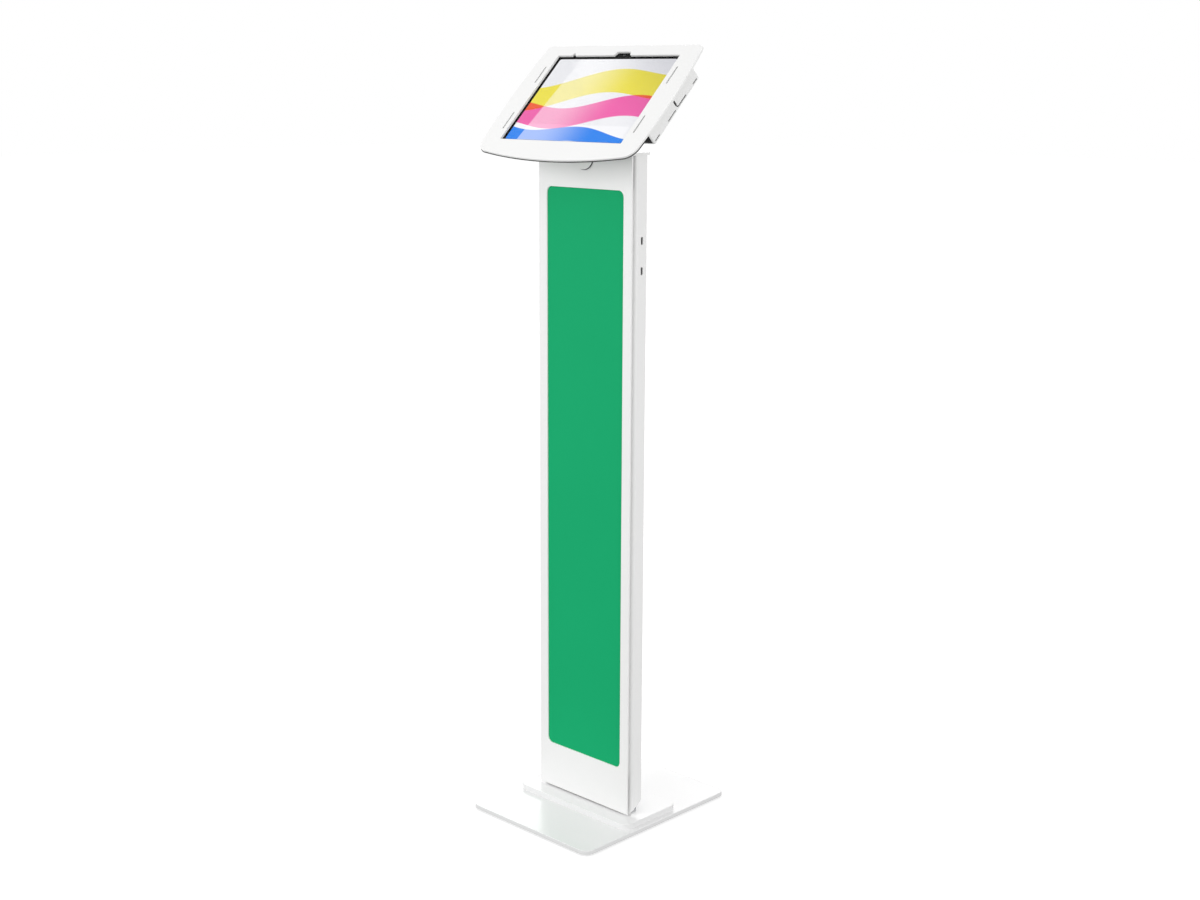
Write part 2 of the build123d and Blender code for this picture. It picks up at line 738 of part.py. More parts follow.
with BuildPart() as wave_washer:
    with BuildSketch(head_plane(0, box_centre, ring_nut_front)):
        Circle(ring_nut_radius)
        Circle(pivot_radius + hole_clearance, mode=Mode.SUBTRACT)
    extrude(amount=wave_washer_thickness)
save(wave_washer, "wave_washer")

with BuildPart() as swivel_plate:
    with BuildSketch(head_plane(0, box_centre, swivel_plate_rear)):
        Circle(swivel_plate_radius)
        Circle(pivot_radius + hole_clearance, mode=Mode.SUBTRACT)
        with GridLocations(mount_pattern_width, mount_pattern_width, 2, 2):
            Circle(m4_radius + hole_clearance, mode=Mode.SUBTRACT)
        with BuildLine(mode=Mode.PRIVATE):
            stop_arc = CenterArc((0, 0), stop_pin_orbit, -swivel_range / 2, swivel_range)
        SlotArc(stop_arc, 2 * (stop_pin_radius + 2 * running_clearance), mode=Mode.SUBTRACT)
    extrude(amount=swivel_plate_thickness)
save(swivel_plate, "swivel_plate")

with BuildPart() as swivel_screws:
    for x in (-mount_pattern_width / 2, mount_pattern_width / 2):
        for y in (-mount_pattern_width / 2, mount_pattern_width / 2):
            inside = head_plane(x, box_centre + y, box_inner_rear)
            add(screw(inside, m4_radius, box_wall + swivel_plate_thickness * screw_engagement_share))
save(swivel_screws, "swivel_screws")

with BuildPart() as pivot_bush:
    with BuildSketch(head_plane(0, box_centre, bush_rear)):
        Circle(pivot_radius)
    extrude(amount=box_inner_rear - bush_rear)
    with BuildSketch(head_plane(0, box_centre, box_inner_rear)):
        Circle(bush_flange_radius)
    extrude(amount=bush_flange_thickness)
    with BuildSketch(head_plane(0, box_centre, bush_rear)):
        Circle(pivot_bore)
    extrude(amount=box_inner_rear - bush_rear + bush_flange_thickness, mode=Mode.SUBTRACT)
save(pivot_bush, "pivot_bush")

with BuildPart() as ring_nut:
    with BuildSketch(head_plane(0, box_centre, ring_nut_rear)):
        Circle(ring_nut_radius)
        Circle(pivot_radius + running_clearance, mode=Mode.SUBTRACT)
        with PolarLocations(ring_nut_radius, 4):
            Rectangle(spanner_notch, spanner_notch, mode=Mode.SUBTRACT)
    extrude(amount=ring_nut_thickness)
save(ring_nut, "ring_nut")

# Rear box: a shallow folded housing behind the tray, with the cable slot, the seal and the lock
lock_place = head_plane(lock_x, box_bottom, lock_level, facing="y")
hasp_side_gap = 1.1
hasp_swing_room = 3.5           # the hasp swings in from below as the frame closes
hasp_slot_room = 1.0
hasp_slot_side = 0.8
hasp_outer_x = -tray_width / 2 + tray_wall + hasp_side_gap
hasp_middle_y = box_bottom + lock_body_length
hasp_slot_low = hasp_middle_y - hasp_height / 2 - hasp_swing_room
hasp_slot_high = hasp_middle_y + hasp_height / 2 + hasp_slot_room
seal_level = (box_front + box_rear) / 2
box_inner_width = tray_width - 2 * box_wall
box_inner_height = box_height - 2 * box_wall
tray_screw_places = [
    (x, y)
    for x in (-tray_screw_spread, 0.0, tray_screw_spread)
    for y in (box_bottom + (box_wall + box_lip) / 2, box_top - (box_wall + box_lip) / 2)
]



def box_outline(width, height, top_corner, foot_corner):
    """The outline of the rear box, with its upper corners rounder than its lower ones."""
    with BuildSketch() as outline:
        Rectangle(width, height)
        fillet(outline.vertices().group_by(Axis.Y)[-1], top_corner)
        fillet(outline.vertices().group_by(Axis.Y)[0], foot_corner)
    return outline.sketch


with BuildPart() as box_pocket:
    with BuildSketch(head_plane(0, box_centre, box_inner_rear)):
        inner_corners = (box_corner - box_wall, box_foot_corner - box_wall)
        add(box_outline(box_inner_width, box_inner_height, *inner_corners))
    extrude(amount=box_depth - 2 * box_wall)
    pocket_floor = box_pocket.faces().sort_by(Axis(head.origin, head.z_dir))[0]
    fillet(pocket_floor.edges(), box_rear_round - box_wall)

with BuildPart() as rear_box:
    with BuildSketch(head_plane(0, box_centre, box_rear)):
        add(box_outline(tray_width, box_height, box_corner, box_foot_corner))
    extrude(amount=box_depth)
    fillet(rear_box.faces().sort_by(Axis(head.origin, head.z_dir))[0].edges(), box_rear_round)
    add(box_pocket.part, mode=Mode.SUBTRACT)
    with BuildSketch(head_plane(0, box_centre, box_front)):
        Rectangle(tray_width - 2 * box_lip, box_height - 2 * box_lip)
        with Locations((-tray_width / 2 + box_lip, (hasp_slot_low + hasp_slot_high) / 2 - box_centre)):
            Rectangle(2 * (box_lip - box_wall), hasp_slot_high - hasp_slot_low)
    extrude(amount=-box_wall - overrun, mode=Mode.SUBTRACT)
    with BuildSketch(head_plane(0, box_centre, box_front)):
        with Locations(*[(x, y - box_centre) for x, y in tray_screw_places]):
            Circle(m3_radius + hole_clearance)
    extrude(amount=-box_wall, mode=Mode.SUBTRACT)
    with BuildSketch(head_plane(0, box_centre, box_rear)):
        Circle(pivot_radius + hole_clearance)
        with GridLocations(mount_pattern_width, mount_pattern_width, 2, 2):
            Circle(m4_radius + hole_clearance)
    extrude(amount=box_wall, mode=Mode.SUBTRACT)
    with BuildSketch(head_plane(tray_width / 2 - 2 * box_wall, facing="x")):
        with Locations((tether_slot_y, tether_slot_level)):
            SlotOverall(tether_slot_length, tether_slot_width, rotation=90)
        with BuildLine(mode=Mode.PRIVATE):
            hook_centre = (tether_slot_y + hook_radius, vent_level + hook_radius)
            hook_bend = CenterArc(hook_centre, hook_radius, 180, 90)
        SlotArc(hook_bend, hook_width)
        with Locations(((tether_slot_y + hook_radius + hook_end) / 2, vent_level)):
            SlotOverall(hook_end - tether_slot_y - hook_radius + hook_width, hook_width)
    extrude(amount=3 * box_wall, mode=Mode.SUBTRACT)
    for vent_x in (-tray_width / 2 - box_wall, tray_width / 2 - 2 * box_wall):
        with BuildSketch(head_plane(vent_x, facing="x")):
            for middle, length in zip(vent_middles, vent_lengths):
                with Locations((middle, vent_level)):
                    SlotOverall(length, vent_width)
        extrude(amount=3 * box_wall, mode=Mode.SUBTRACT)
    with BuildSketch(head_plane(seal_x, box_bottom, seal_level, facing="y")):
        Rectangle(seal_width, seal_height)
    extrude(amount=box_wall, mode=Mode.SUBTRACT)
    with BuildSketch(lock_place):
        Circle(lock_body_radius + hole_clearance)
    extrude(amount=box_wall, mode=Mode.SUBTRACT)
save(rear_box, "rear_box")

with BuildPart() as cable_seal:
    with BuildSketch(head_plane(seal_x, box_bottom, seal_level, facing="y")):
        Rectangle(seal_width - hole_clearance, seal_height - hole_clearance)
    extrude(amount=box_wall)
    with BuildSketch(head_plane(seal_x, box_bottom + box_wall, seal_level, facing="y")):
        Rectangle(seal_width - hole_clearance, seal_height + box_wall)
    extrude(amount=2 * box_wall)
save(cable_seal, "cable_seal")

# Tray that holds the tablet, screwed to the lips of the rear box
with BuildPart() as tablet_tray:
    with BuildSketch(head_plane(0, 0, tray_rear)):
        RectangleRounded(tray_width, tray_height, tray_corner)
    extrude(amount=tray_depth)
    with BuildSketch(head_plane(0, 0, tray_floor)):
        RectangleRounded(tray_width - 2 * tray_wall, tray_height - 2 * tray_wall, tray_corner - tray_wall)
    extrude(amount=tray_depth, mode=Mode.SUBTRACT)
    with BuildSketch(head_plane(0, 0, tray_rear)):
        with Locations((0, box_centre)):
            RectangleRounded(tray_window_width, tray_window_height, tray_corner)
        with Locations((hasp_outer_x + hasp_thickness / 2, (hasp_slot_low + hasp_slot_high) / 2)):
            Rectangle(hasp_thickness + 2 * hasp_slot_side, hasp_slot_high - hasp_slot_low)
    extrude(amount=tray_wall, mode=Mode.SUBTRACT)
    port_level = (tray_floor + tray_front) / 2
    with BuildSketch(head_plane(tray_width / 2 - 2 * tray_wall, 0, port_level, facing="x")):
        SlotOverall(tray_cable_port_length, tray_cable_port_height)
    extrude(amount=3 * tray_wall, mode=Mode.SUBTRACT)
    for x, y in tray_screw_places:
        inside = head_plane(x, y, tray_floor)
        add(screw_hole(inside, m3_radius, tray_wall, countersunk=True), mode=Mode.SUBTRACT)
save(tablet_tray, "tablet_tray")

with BuildPart() as tray_screws:
    for x, y in tray_screw_places:
        add(screw(head_plane(x, y, tray_floor), m3_radius, 3 * tray_wall, countersunk=True))
save(tray_screws, "tray_screws")

# Soft parts that carry the tablet in the tray
pad_length = 40.0
pad_width = 12.0
bumper_depth = 5.0
bumper_length = 30.0
side_bumper_low = -60.0
side_bumper_high = 30.0
end_bumper_spacing = 70.0
side_gap = (tray_width - tablet_width) / 2 - tray_wall
end_gap = (tray_height - tablet_height) / 2 - tray_wall

with BuildPart() as tablet_pads:
    with BuildSketch(head_plane(0, 0, tray_floor)):
        with GridLocations(tray_window_width, tray_height - 2 * tray_corner - 2 * pad_width, 2, 2):
            RectangleRounded(pad_length, pad_width, tray_wall)
    extrude(amount=tablet_rear - tray_floor)
save(tablet_pads, "tablet_pads")

with BuildPart() as tray_bumpers:
    with BuildSketch(head_plane(0, 0, tray_floor)):
        for y in (side_bumper_low, side_bumper_high):
            with Locations((0, y)):
                with GridLocations(tablet_width + side_gap, 0, 2, 1):
                    Rectangle(side_gap, bumper_length)
        with GridLocations(end_bumper_spacing, tablet_height + end_gap, 2, 2):
            Rectangle(bumper_length, end_gap)
    extrude(amount=bumper_depth)
save(tray_bumpers, "tray_bumpers")

# Tablet
tablet_screen_rear = tablet_front - glass_thickness - display_thickness
button_depth = 2.4
button_stand_out = 0.4
button_slack = 0.1
button_level = (tablet_front + tablet_rear) / 2
power_button_y = tablet_height / 2 - tablet_corner - power_button_length
volume_up_x = -tablet_width / 2 + tablet_corner + 2 * volume_button_length
volume_down_x = volume_up_x + volume_button_length + button_width
button_places = [
    ("power_button", -tablet_width / 2, power_button_y, "x", power_button_length),
    ("volume_up_button", volume_up_x, -tablet_height / 2, "y", volume_button_length),
    ("volume_down_button", volume_down_x, -tablet_height / 2, "y", volume_button_length),
]


def button_sketch_plane(x, y, facing, depth):
    """A plane at the given depth inside the tablet's edge, facing along the button's travel."""
    if facing == "x":
        return head_plane(x + depth, y, button_level, facing="x")
    return head_plane(x, y + depth, button_level, facing="y")


with BuildPart() as tablet_shell:
    with BuildSketch(head_plane(0, 0, tablet_rear)):
        RectangleRounded(tablet_width, tablet_height, tablet_corner)
    extrude(amount=tablet_thickness)
    fillet(tablet_shell.faces().sort_by(Axis(head.origin, head.z_dir))[0].edges(), tablet_edge_round)
    with BuildSketch(head_plane(0, 0, tablet_front)):
        RectangleRounded(
            tablet_width - 2 * glass_margin, tablet_height - 2 * glass_margin, tablet_corner - glass_margin
        )
    extrude(amount=-glass_thickness, mode=Mode.SUBTRACT)
    with BuildSketch(head_plane(0, 0, tablet_front - glass_thickness)):
        Rectangle(display_width, display_height)
    extrude(amount=-display_thickness, mode=Mode.SUBTRACT)
    for label, x, y, facing, length in button_places:
        with BuildSketch(button_sketch_plane(x, y, facing, 0)):
            SlotOverall(length + 2 * button_slack, button_width + 2 * button_slack)
        extrude(amount=button_depth + button_travel + button_slack, mode=Mode.SUBTRACT)
save(tablet_shell, "tablet_shell")

with BuildPart() as tablet_display:
    with BuildSketch(head_plane(0, 0, tablet_screen_rear)):
        Rectangle(display_width, display_height)
    extrude(amount=display_thickness)
save(tablet_display, "tablet_display")

with BuildPart() as tablet_glass:
    with BuildSketch(head_plane(0, 0, tablet_front - glass_thickness)):
        RectangleRounded(
            tablet_width - 2 * glass_margin, tablet_height - 2 * glass_margin, tablet_corner - glass_margin
        )
    extrude(amount=glass_thickness)
save(tablet_glass, "tablet_glass")

for label, x, y, facing, length in button_places:
    with BuildPart() as button:
        with BuildSketch(button_sketch_plane(x, y, facing, -button_stand_out)):
            SlotOverall(length, button_width)
        extrude(amount=button_depth + button_stand_out)
    save(button, label)

# Front frame, with its display window, notches and slots
with BuildPart() as front_frame:
    with BuildSketch(head_plane(0, 0, frame_rear)) as frame_outline:
        with BuildLine():
            Line((-frame_half_top, frame_top), (frame_half_top, frame_top))
            ThreePointArc(
                (frame_half_top, frame_top),
                (frame_half_middle, frame_widest),
                (frame_half_bottom, -frame_bottom_ends),
            )
            ThreePointArc(
                (frame_half_bottom, -frame_bottom_ends),
                (0, -frame_bottom),
                (-frame_half_bottom, -frame_bottom_ends),
            )
            ThreePointArc(
                (-frame_half_bottom, -frame_bottom_ends),
                (-frame_half_middle, frame_widest),
                (-frame_half_top, frame_top),
            )
        make_face()
        fillet(frame_outline.vertices().group_by(Axis.Y)[-1], frame_top_corner)
        fillet(frame_outline.vertices().group_by(Axis.Y)[0], frame_bottom_corner)
    extrude(amount=frame_thickness)
    fillet(front_frame.faces().sort_by(Axis(head.origin, head.z_dir))[-1].edges(), frame_edge_round)
    with BuildSketch(head_plane(0, 0, frame_rear)):
        RectangleRounded(display_window_width, display_window_height, display_window_corner)
        window_edge = display_window_height / 2
        with BuildLine():
            Polyline(
                (camera_notch_x - camera_notch_base / 2, window_edge - display_window_corner),
                (camera_notch_x + camera_notch_base / 2, window_edge - display_window_corner),
                (camera_notch_x + camera_notch_top / 2, window_edge + camera_notch_height),
                (camera_notch_x - camera_notch_top / 2, window_edge + camera_notch_height),
                close=True,
            )
        make_face()
        with BuildLine():
            Polyline(
                (sensor_notch_x - sensor_notch_base / 2, window_edge - display_window_corner),
                (sensor_notch_x + sensor_notch_base / 2, window_edge - display_window_corner),
                (sensor_notch_x, window_edge + sensor_notch_height),
                close=True,
            )
        make_face()
        for x in (-frame_slot_x, frame_slot_x):
            for y in (frame_slot_lower, frame_slot_upper):
                with Locations((x, y)):
                    SlotOverall(frame_slot_length, frame_slot_width, rotation=90)
    extrude(amount=frame_thickness, mode=Mode.SUBTRACT)
save(front_frame, "front_frame")

# Hinges between the tray and the front frame, at the top
knuckle_gap = 0.15
tray_top = tray_height / 2
hinge_centres = (-hinge_spread, hinge_spread)
tray_knuckle_offset = knuckle_length + knuckle_gap

with BuildPart() as frame_hinge_lugs:
    for x in hinge_centres:
        start = x - knuckle_length / 2
        with BuildSketch(head_plane(start, hinge_axis_height, hinge_axis_level, facing="x")):
            Circle(hinge_barrel_radius)
            with Locations((0, (frame_rear - hinge_axis_level) / 2)):
                Rectangle(2 * hinge_barrel_radius, frame_rear - hinge_axis_level)
            Circle(hinge_pin_radius + running_clearance, mode=Mode.SUBTRACT)
        extrude(amount=knuckle_length)
save(frame_hinge_lugs, "frame_hinge_lugs")

with BuildPart() as tray_hinge_lugs:
    for x in hinge_centres:
        for side in (-1, 1):
            start = x + side * tray_knuckle_offset - knuckle_length / 2
            with BuildSketch(head_plane(start, hinge_axis_height, hinge_axis_level, facing="x")):
                Circle(hinge_barrel_radius)
                with Locations(((tray_top - hinge_axis_height) / 2, 0)):
                    Rectangle(hinge_axis_height - tray_top, 2 * hinge_barrel_radius)
                Circle(hinge_pin_radius + running_clearance, mode=Mode.SUBTRACT)
            extrude(amount=knuckle_length)
save(tray_hinge_lugs, "tray_hinge_lugs")

with BuildPart() as hinge_pins:
    pin_length = 3 * knuckle_length + 2 * knuckle_gap
    for x in hinge_centres:
        with BuildSketch(head_plane(x - pin_length / 2, hinge_axis_height, hinge_axis_level, facing="x")):
            Circle(hinge_pin_radius)
        extrude(amount=pin_length)
save(hinge_pins, "hinge_pins")

# Hasp on the frame and the cam lock in the rear box that holds it
cam_slack = 0.3
hasp_window_room = 4.0
hasp_window_share = 0.7         # of the cam's reach
hasp_window_height = cam_thickness + hasp_window_room
hasp_window_low = lock_level - cam_width / 2 - cam_slack
hasp_window_high = lock_level + cam_reach * hasp_window_share

with BuildPart() as frame_hasp:
    with BuildSketch(head_plane(hasp_outer_x, hasp_middle_y, frame_rear - hasp_depth / 2, facing="x")):
        Rectangle(hasp_height, hasp_depth)
        middle_n = (hasp_window_low + hasp_window_high) / 2 - frame_rear + hasp_depth / 2
        with Locations((0, middle_n)):
            RectangleRounded(
                hasp_window_height, hasp_window_high - hasp_window_low, cam_slack, mode=Mode.SUBTRACT
            )
    extrude(amount=hasp_thickness)
save(frame_hasp, "frame_hasp")

lock_end = lock_body_length - cam_thickness / 2
keyway_length = 7.0
keyway_width = 2.0
keyway_depth = 6.0

with BuildPart() as lock_body:
    with BuildSketch(lock_place.offset(-lock_flange_thickness)):
        Circle(lock_flange_radius)
    extrude(amount=lock_flange_thickness)
    fillet(lock_body.faces().sort_by(Axis(head.origin, head.y_dir))[0].edges(), lock_flange_thickness / 4)
    with BuildSketch(lock_place):
        Circle(lock_body_radius)
    extrude(amount=lock_end)
    with BuildSketch(lock_place.offset(-lock_flange_thickness)):
        Circle(lock_plug_radius + running_clearance)
    extrude(amount=lock_flange_thickness + lock_end, mode=Mode.SUBTRACT)
save(lock_body, "lock_body")

with BuildPart() as lock_nut:
    with BuildSketch(lock_place.offset(box_wall)):
        Circle(lock_nut_radius)
        Circle(lock_body_radius + running_clearance, mode=Mode.SUBTRACT)
    extrude(amount=lock_nut_thickness)
save(lock_nut, "lock_nut")

with BuildPart() as lock_plug:
    with BuildSketch(lock_place.offset(-lock_flange_thickness)):
        Circle(lock_plug_radius)
    extrude(amount=lock_flange_thickness + lock_end)
    with BuildSketch(lock_place.offset(-lock_flange_thickness)):
        Rectangle(keyway_width, keyway_length)
    extrude(amount=keyway_depth, mode=Mode.SUBTRACT)
    with BuildSketch(lock_place.offset(lock_end)):
        Circle(m3_radius + hole_clearance)
    extrude(amount=-keyway_depth, mode=Mode.SUBTRACT)
save(lock_plug, "lock_plug")

with BuildPart() as lock_cam:
    with BuildSketch(lock_place.offset(lock_end)):
        Circle(lock_plug_radius)
        with Locations((0, -(cam_reach - cam_width / 2) / 2)):
            Rectangle(cam_width, cam_reach - cam_width / 2)
        with Locations((0, -(cam_reach - cam_width / 2))):
            Circle(cam_width / 2)
        Circle(m3_radius + hole_clearance, mode=Mode.SUBTRACT)
    extrude(amount=cam_thickness)
save(lock_cam, "lock_cam")

with BuildPart() as cam_screw:
    cam_screw_length = cam_thickness + keyway_depth * screw_engagement_share
    add(screw(lock_place.offset(lock_end + cam_thickness), m3_radius, cam_screw_length))
save(cam_screw, "cam_screw")
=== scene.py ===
# %% [markdown]
# A kiosk stand for a tablet, dressed for a studio picture. The steel parts, the screws and the
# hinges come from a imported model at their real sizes. This script gives every one of them a finish,
# adds the small things that a drawing leaves out, and sets up lights and a camera. It works in
# metres. Run the cells from top to bottom, because each one uses names from those above it.

from math import atan2, cos, pi, radians, sin, sqrt

import bmesh
import bpy
from mathutils import Matrix, Vector
from mathutils.geometry import convex_hull_2d


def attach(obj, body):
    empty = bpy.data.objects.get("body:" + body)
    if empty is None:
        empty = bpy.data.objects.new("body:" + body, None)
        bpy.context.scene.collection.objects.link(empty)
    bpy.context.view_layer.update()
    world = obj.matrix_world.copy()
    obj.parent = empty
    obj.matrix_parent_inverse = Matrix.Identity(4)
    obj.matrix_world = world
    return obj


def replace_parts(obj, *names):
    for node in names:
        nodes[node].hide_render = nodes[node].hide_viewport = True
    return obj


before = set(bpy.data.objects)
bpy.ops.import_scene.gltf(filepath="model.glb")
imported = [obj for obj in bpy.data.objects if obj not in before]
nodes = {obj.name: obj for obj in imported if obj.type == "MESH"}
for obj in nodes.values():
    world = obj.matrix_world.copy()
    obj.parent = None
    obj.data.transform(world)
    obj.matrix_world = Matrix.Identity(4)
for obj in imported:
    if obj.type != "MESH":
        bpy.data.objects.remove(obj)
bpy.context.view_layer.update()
mm = 0.001

# %% [markdown]
# The camera first. The photograph was taken from the front right, a little above the screen, with a
# lens about as long as 51 mm on full frame. Place, angles and lens were solved together from the
# corners of the stand. A camera can be aimed with a constraint, but a matrix built from three
# angles gives the same result every time and needs nothing to track.

# %% The camera
camera_place = Vector((1662.5, -1714.1, 1063.3)) * mm
camera_yaw = radians(44.17)
camera_pitch = radians(12.34)
camera_roll = radians(0.25)
focal_pixels = 1703.74
picture_width = 1200
sensor_width = 36.0


def camera_matrix(place, yaw, pitch, roll):
    """A camera at a place: turned left from +Y by yaw, tipped down by pitch, rolled about its view."""
    ahead = Vector((-sin(yaw) * cos(pitch), cos(yaw) * cos(pitch), -sin(pitch)))
    level_right = Vector((cos(yaw), sin(yaw), 0))
    level_up = level_right.cross(ahead)
    right = cos(roll) * level_right + sin(roll) * level_up
    up = cos(roll) * level_up - sin(roll) * level_right
    turned = Matrix((right, up, -ahead)).transposed().to_4x4()
    return Matrix.Translation(place) @ turned


camera_data = bpy.data.cameras.new("camera")
camera_data.sensor_width = sensor_width
camera_data.lens = focal_pixels * sensor_width / picture_width
camera_data.clip_start = 50 * mm
camera_data.clip_end = 50
camera = bpy.data.objects.new("camera", camera_data)
camera.matrix_world = camera_matrix(camera_place, camera_yaw, camera_pitch, camera_roll)
bpy.context.collection.objects.link(camera)
bpy.context.scene.camera = camera
print("lens:", round(camera_data.lens, 1), "mm")

# %% [markdown]
# The head has a frame of its own, tilted 45 degrees: x across the screen, y up it, n out of it. Its
# origin is the middle of the display window, on the face of the front frame. Every piece of the
# head is easier to place there, so two helpers turn head coordinates into the stand's. The origin
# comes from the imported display, not from a typed number: the middle of the display's box is the
# middle of the window, a few millimetres behind its face.

# %% The head's own frame
head_tilt = radians(45)
across = Vector((1, 0, 0))
up_screen = Vector((0, cos(head_tilt), sin(head_tilt)))
out_of_screen = Vector((0, -sin(head_tilt), cos(head_tilt)))


def span(node, axis):
    """Lowest and highest place of a CAD node's points along an axis, in metres."""
    reach = [axis.dot(vertex.co) for vertex in nodes[node].data.vertices]
    return min(reach), max(reach)


def middle(node, axis):
    """The middle of a CAD node along an axis."""
    low, high = span(node, axis)
    return (low + high) / 2


head_origin = (
    across * middle("tablet_display", across)
    + up_screen * middle("tablet_display", up_screen)
    + out_of_screen * span("front_frame", out_of_screen)[1]
)


def head_point(x, y, n):
    """A point of the head in the stand's coordinates."""
    return head_origin + across * x + up_screen * y + out_of_screen * n


def head_matrix(x=0.0, y=0.0, n=0.0):
    """Carries a shape drawn flat at the origin to a place on the head, facing out of the screen."""
    turned = Matrix((across, up_screen, out_of_screen)).transposed().to_4x4()
    return Matrix.Translation(head_point(x, y, n)) @ turned


def level(node, axis, end):
    """Where a node starts (end 0) or stops (end 1) along an axis, measured from the head's origin."""
    return span(node, axis)[end] - axis.dot(head_origin)


print("head origin:", [round(value, 4) for value in head_origin])

# %% [markdown]
# Materials. Each finish is a small network of shader nodes that read Object coordinates, so it sits
# still on the part and needs no unwrapping. Colours are written as hex values, the way a paint
# chart gives them, and turned to linear light by one function. A second function adds a node with
# its settings and its links, and a third makes a material by a recipe. The recipes follow, one for
# each kind of finish.

# %% Colour and node helpers


def linear(hex_colour):
    """A hex colour as red, green, blue and alpha in linear light, by the curve of the sRGB standard."""
    values = []
    for index in (1, 3, 5):
        share = int(hex_colour[index:index + 2], 16) / 255
        values.append(share / 12.92 if share <= 0.04045 else ((share + 0.055) / 1.055) ** 2.4)
    return values + [1.0]


def add_node(tree, kind, inputs=None, **settings):
    """Add a shader node. An input, by name or number, gets a value or a link to another node's output."""
    node = tree.nodes.new(f"ShaderNode{kind}")
    for name, value in settings.items():
        setattr(node, name, value)
    for name, value in (inputs or {}).items():
        if isinstance(value, bpy.types.NodeSocket):
            tree.links.new(value, node.inputs[name])
        else:
            node.inputs[name].default_value = value
    return node


def new_material(name, recipe, *values, **settings):
    """A material made by a recipe, which adds its nodes to the tree and returns the last one."""
    material = bpy.data.materials.new(name)
    material.use_nodes = True
    tree = material.node_tree
    tree.nodes.clear()
    shader = recipe(tree, *values, **settings)
    add_node(tree, "OutputMaterial", {"Surface": shader.outputs[0]})
    return material


def dress(material, *names):
    """Give a material to CAD nodes."""
    for name in names:
        nodes[name].data.materials.clear()
        nodes[name].data.materials.append(material)


def to_head(centre):
    """Mapping settings that turn the stand's coordinates into the head's, measured from a point."""
    turn = Matrix.Rotation(-head_tilt, 3, "X")
    return {"Rotation": (-head_tilt, 0, 0), "Location": -(turn @ centre)}


print("helpers ready")

# %% [markdown]
# White powder coat on sheet steel. The powder melts into a skin with a faint orange peel, waves
# about one and a half millimetres apart and a few micrometres deep. It gives soft, slightly broken
# reflections and a clean even white. One noise texture makes the waves. A second and slower one
# moves the roughness and the white by a hair, because powder never lies equally thick everywhere.
# The base and the foot plate have a smoother coat, which mirrors what stands behind them. Their
# white is a painted shade greyer than the column's, so that what they mirror stands out more.

# %% Powder coat
peel_size = 1.6 * mm
peel_height = 0.05 * mm         # drawn deeper than the real skin so that it shows at this distance
film_size = 90 * mm             # how far apart thicker and thinner places of the film lie
film_spread = 0.05              # how far the roughness strays from its middle value
plastic_index = 1.5             # of powder coat, rubber and most plastics


def powder_coat(tree, colour, thin_colour, roughness, peel_strength):
    """Paint melted from powder. The thin colour shows where less of it lies."""
    place = add_node(tree, "TexCoord").outputs["Object"]
    film = add_node(tree, "TexNoise", {"Vector": place, "Scale": 1 / film_size, "Detail": 3.0})
    white = add_node(
        tree, "Mix", {0: film.outputs[0], 6: linear(colour), 7: linear(thin_colour)}, data_type="RGBA"
    )
    rough = add_node(tree, "MapRange", {
        "Value": film.outputs[0], "To Min": roughness - film_spread, "To Max": roughness + film_spread
    })
    waves = add_node(tree, "TexNoise", {"Vector": place, "Scale": 1 / peel_size, "Detail": 2.0})
    peel = add_node(
        tree, "Bump", {"Height": waves.outputs[0], "Distance": peel_height, "Strength": peel_strength}
    )
    return add_node(tree, "BsdfPrincipled", {
        "Base Color": white.outputs[2],
        "Roughness": rough.outputs[0],
        "Normal": peel.outputs[0],
        "IOR": plastic_index,
    })


white_coat = new_material(
    "white_powder_coat", powder_coat, "#f2f2f2", "#f0f0ef", roughness=0.36, peel_strength=0.25
)
# A painted shade: the same white coat, given a greyer white on the base and the foot plate.
plate_coat = new_material(
    "smooth_white_powder_coat", powder_coat, "#eaeaea", "#e7e7e7", roughness=0.24, peel_strength=0.08
)
dress(white_coat, "column_channel", "front_panel", "top_cap", "neck_bracket", "rear_box", "tablet_tray")
dress(white_coat, "front_frame", "rear_cover", "tray_hinge_lugs", "frame_hinge_lugs")
dress(white_coat, "insert_rail_left", "insert_rail_right", "insert_stop")
dress(plate_coat, "base_plate", "foot_plate")
print("coated:", white_coat.name, plate_coat.name)

# %% [markdown]
# Zinc plate on screws, nuts and washers. The bath leaves a bluish grey metal whose crystals each
# shine a little differently. A Voronoi texture gives every crystal its own grey and its own
# roughness, which is what makes plated steel look dry next to chrome. The spring washer is darker,
# because spring steel is blued by heat and only oiled.

# %% Zinc plated steel and spring steel
crystal_size = 0.6 * mm         # real ones are finer, this is what the picture can show
crystal_spread = 0.08           # how far a crystal's roughness strays from the middle value


def plated_metal(tree, dark, light, roughness):
    """A metal skin of crystals, each with a grey between dark and light."""
    place = add_node(tree, "TexCoord").outputs["Object"]
    crystals = add_node(tree, "TexVoronoi", {"Vector": place, "Scale": 1 / crystal_size})
    shade = add_node(tree, "SeparateColor", {"Color": crystals.outputs["Color"]})
    grey = add_node(
        tree, "Mix", {0: shade.outputs[0], 6: linear(dark), 7: linear(light)}, data_type="RGBA"
    )
    rough = add_node(tree, "MapRange", {
        "Value": shade.outputs[1],
        "To Min": roughness - crystal_spread,
        "To Max": roughness + crystal_spread,
    })
    return add_node(tree, "BsdfPrincipled", {
        "Base Color": grey.outputs[2], "Roughness": rough.outputs[0], "Metallic": 1.0
    })


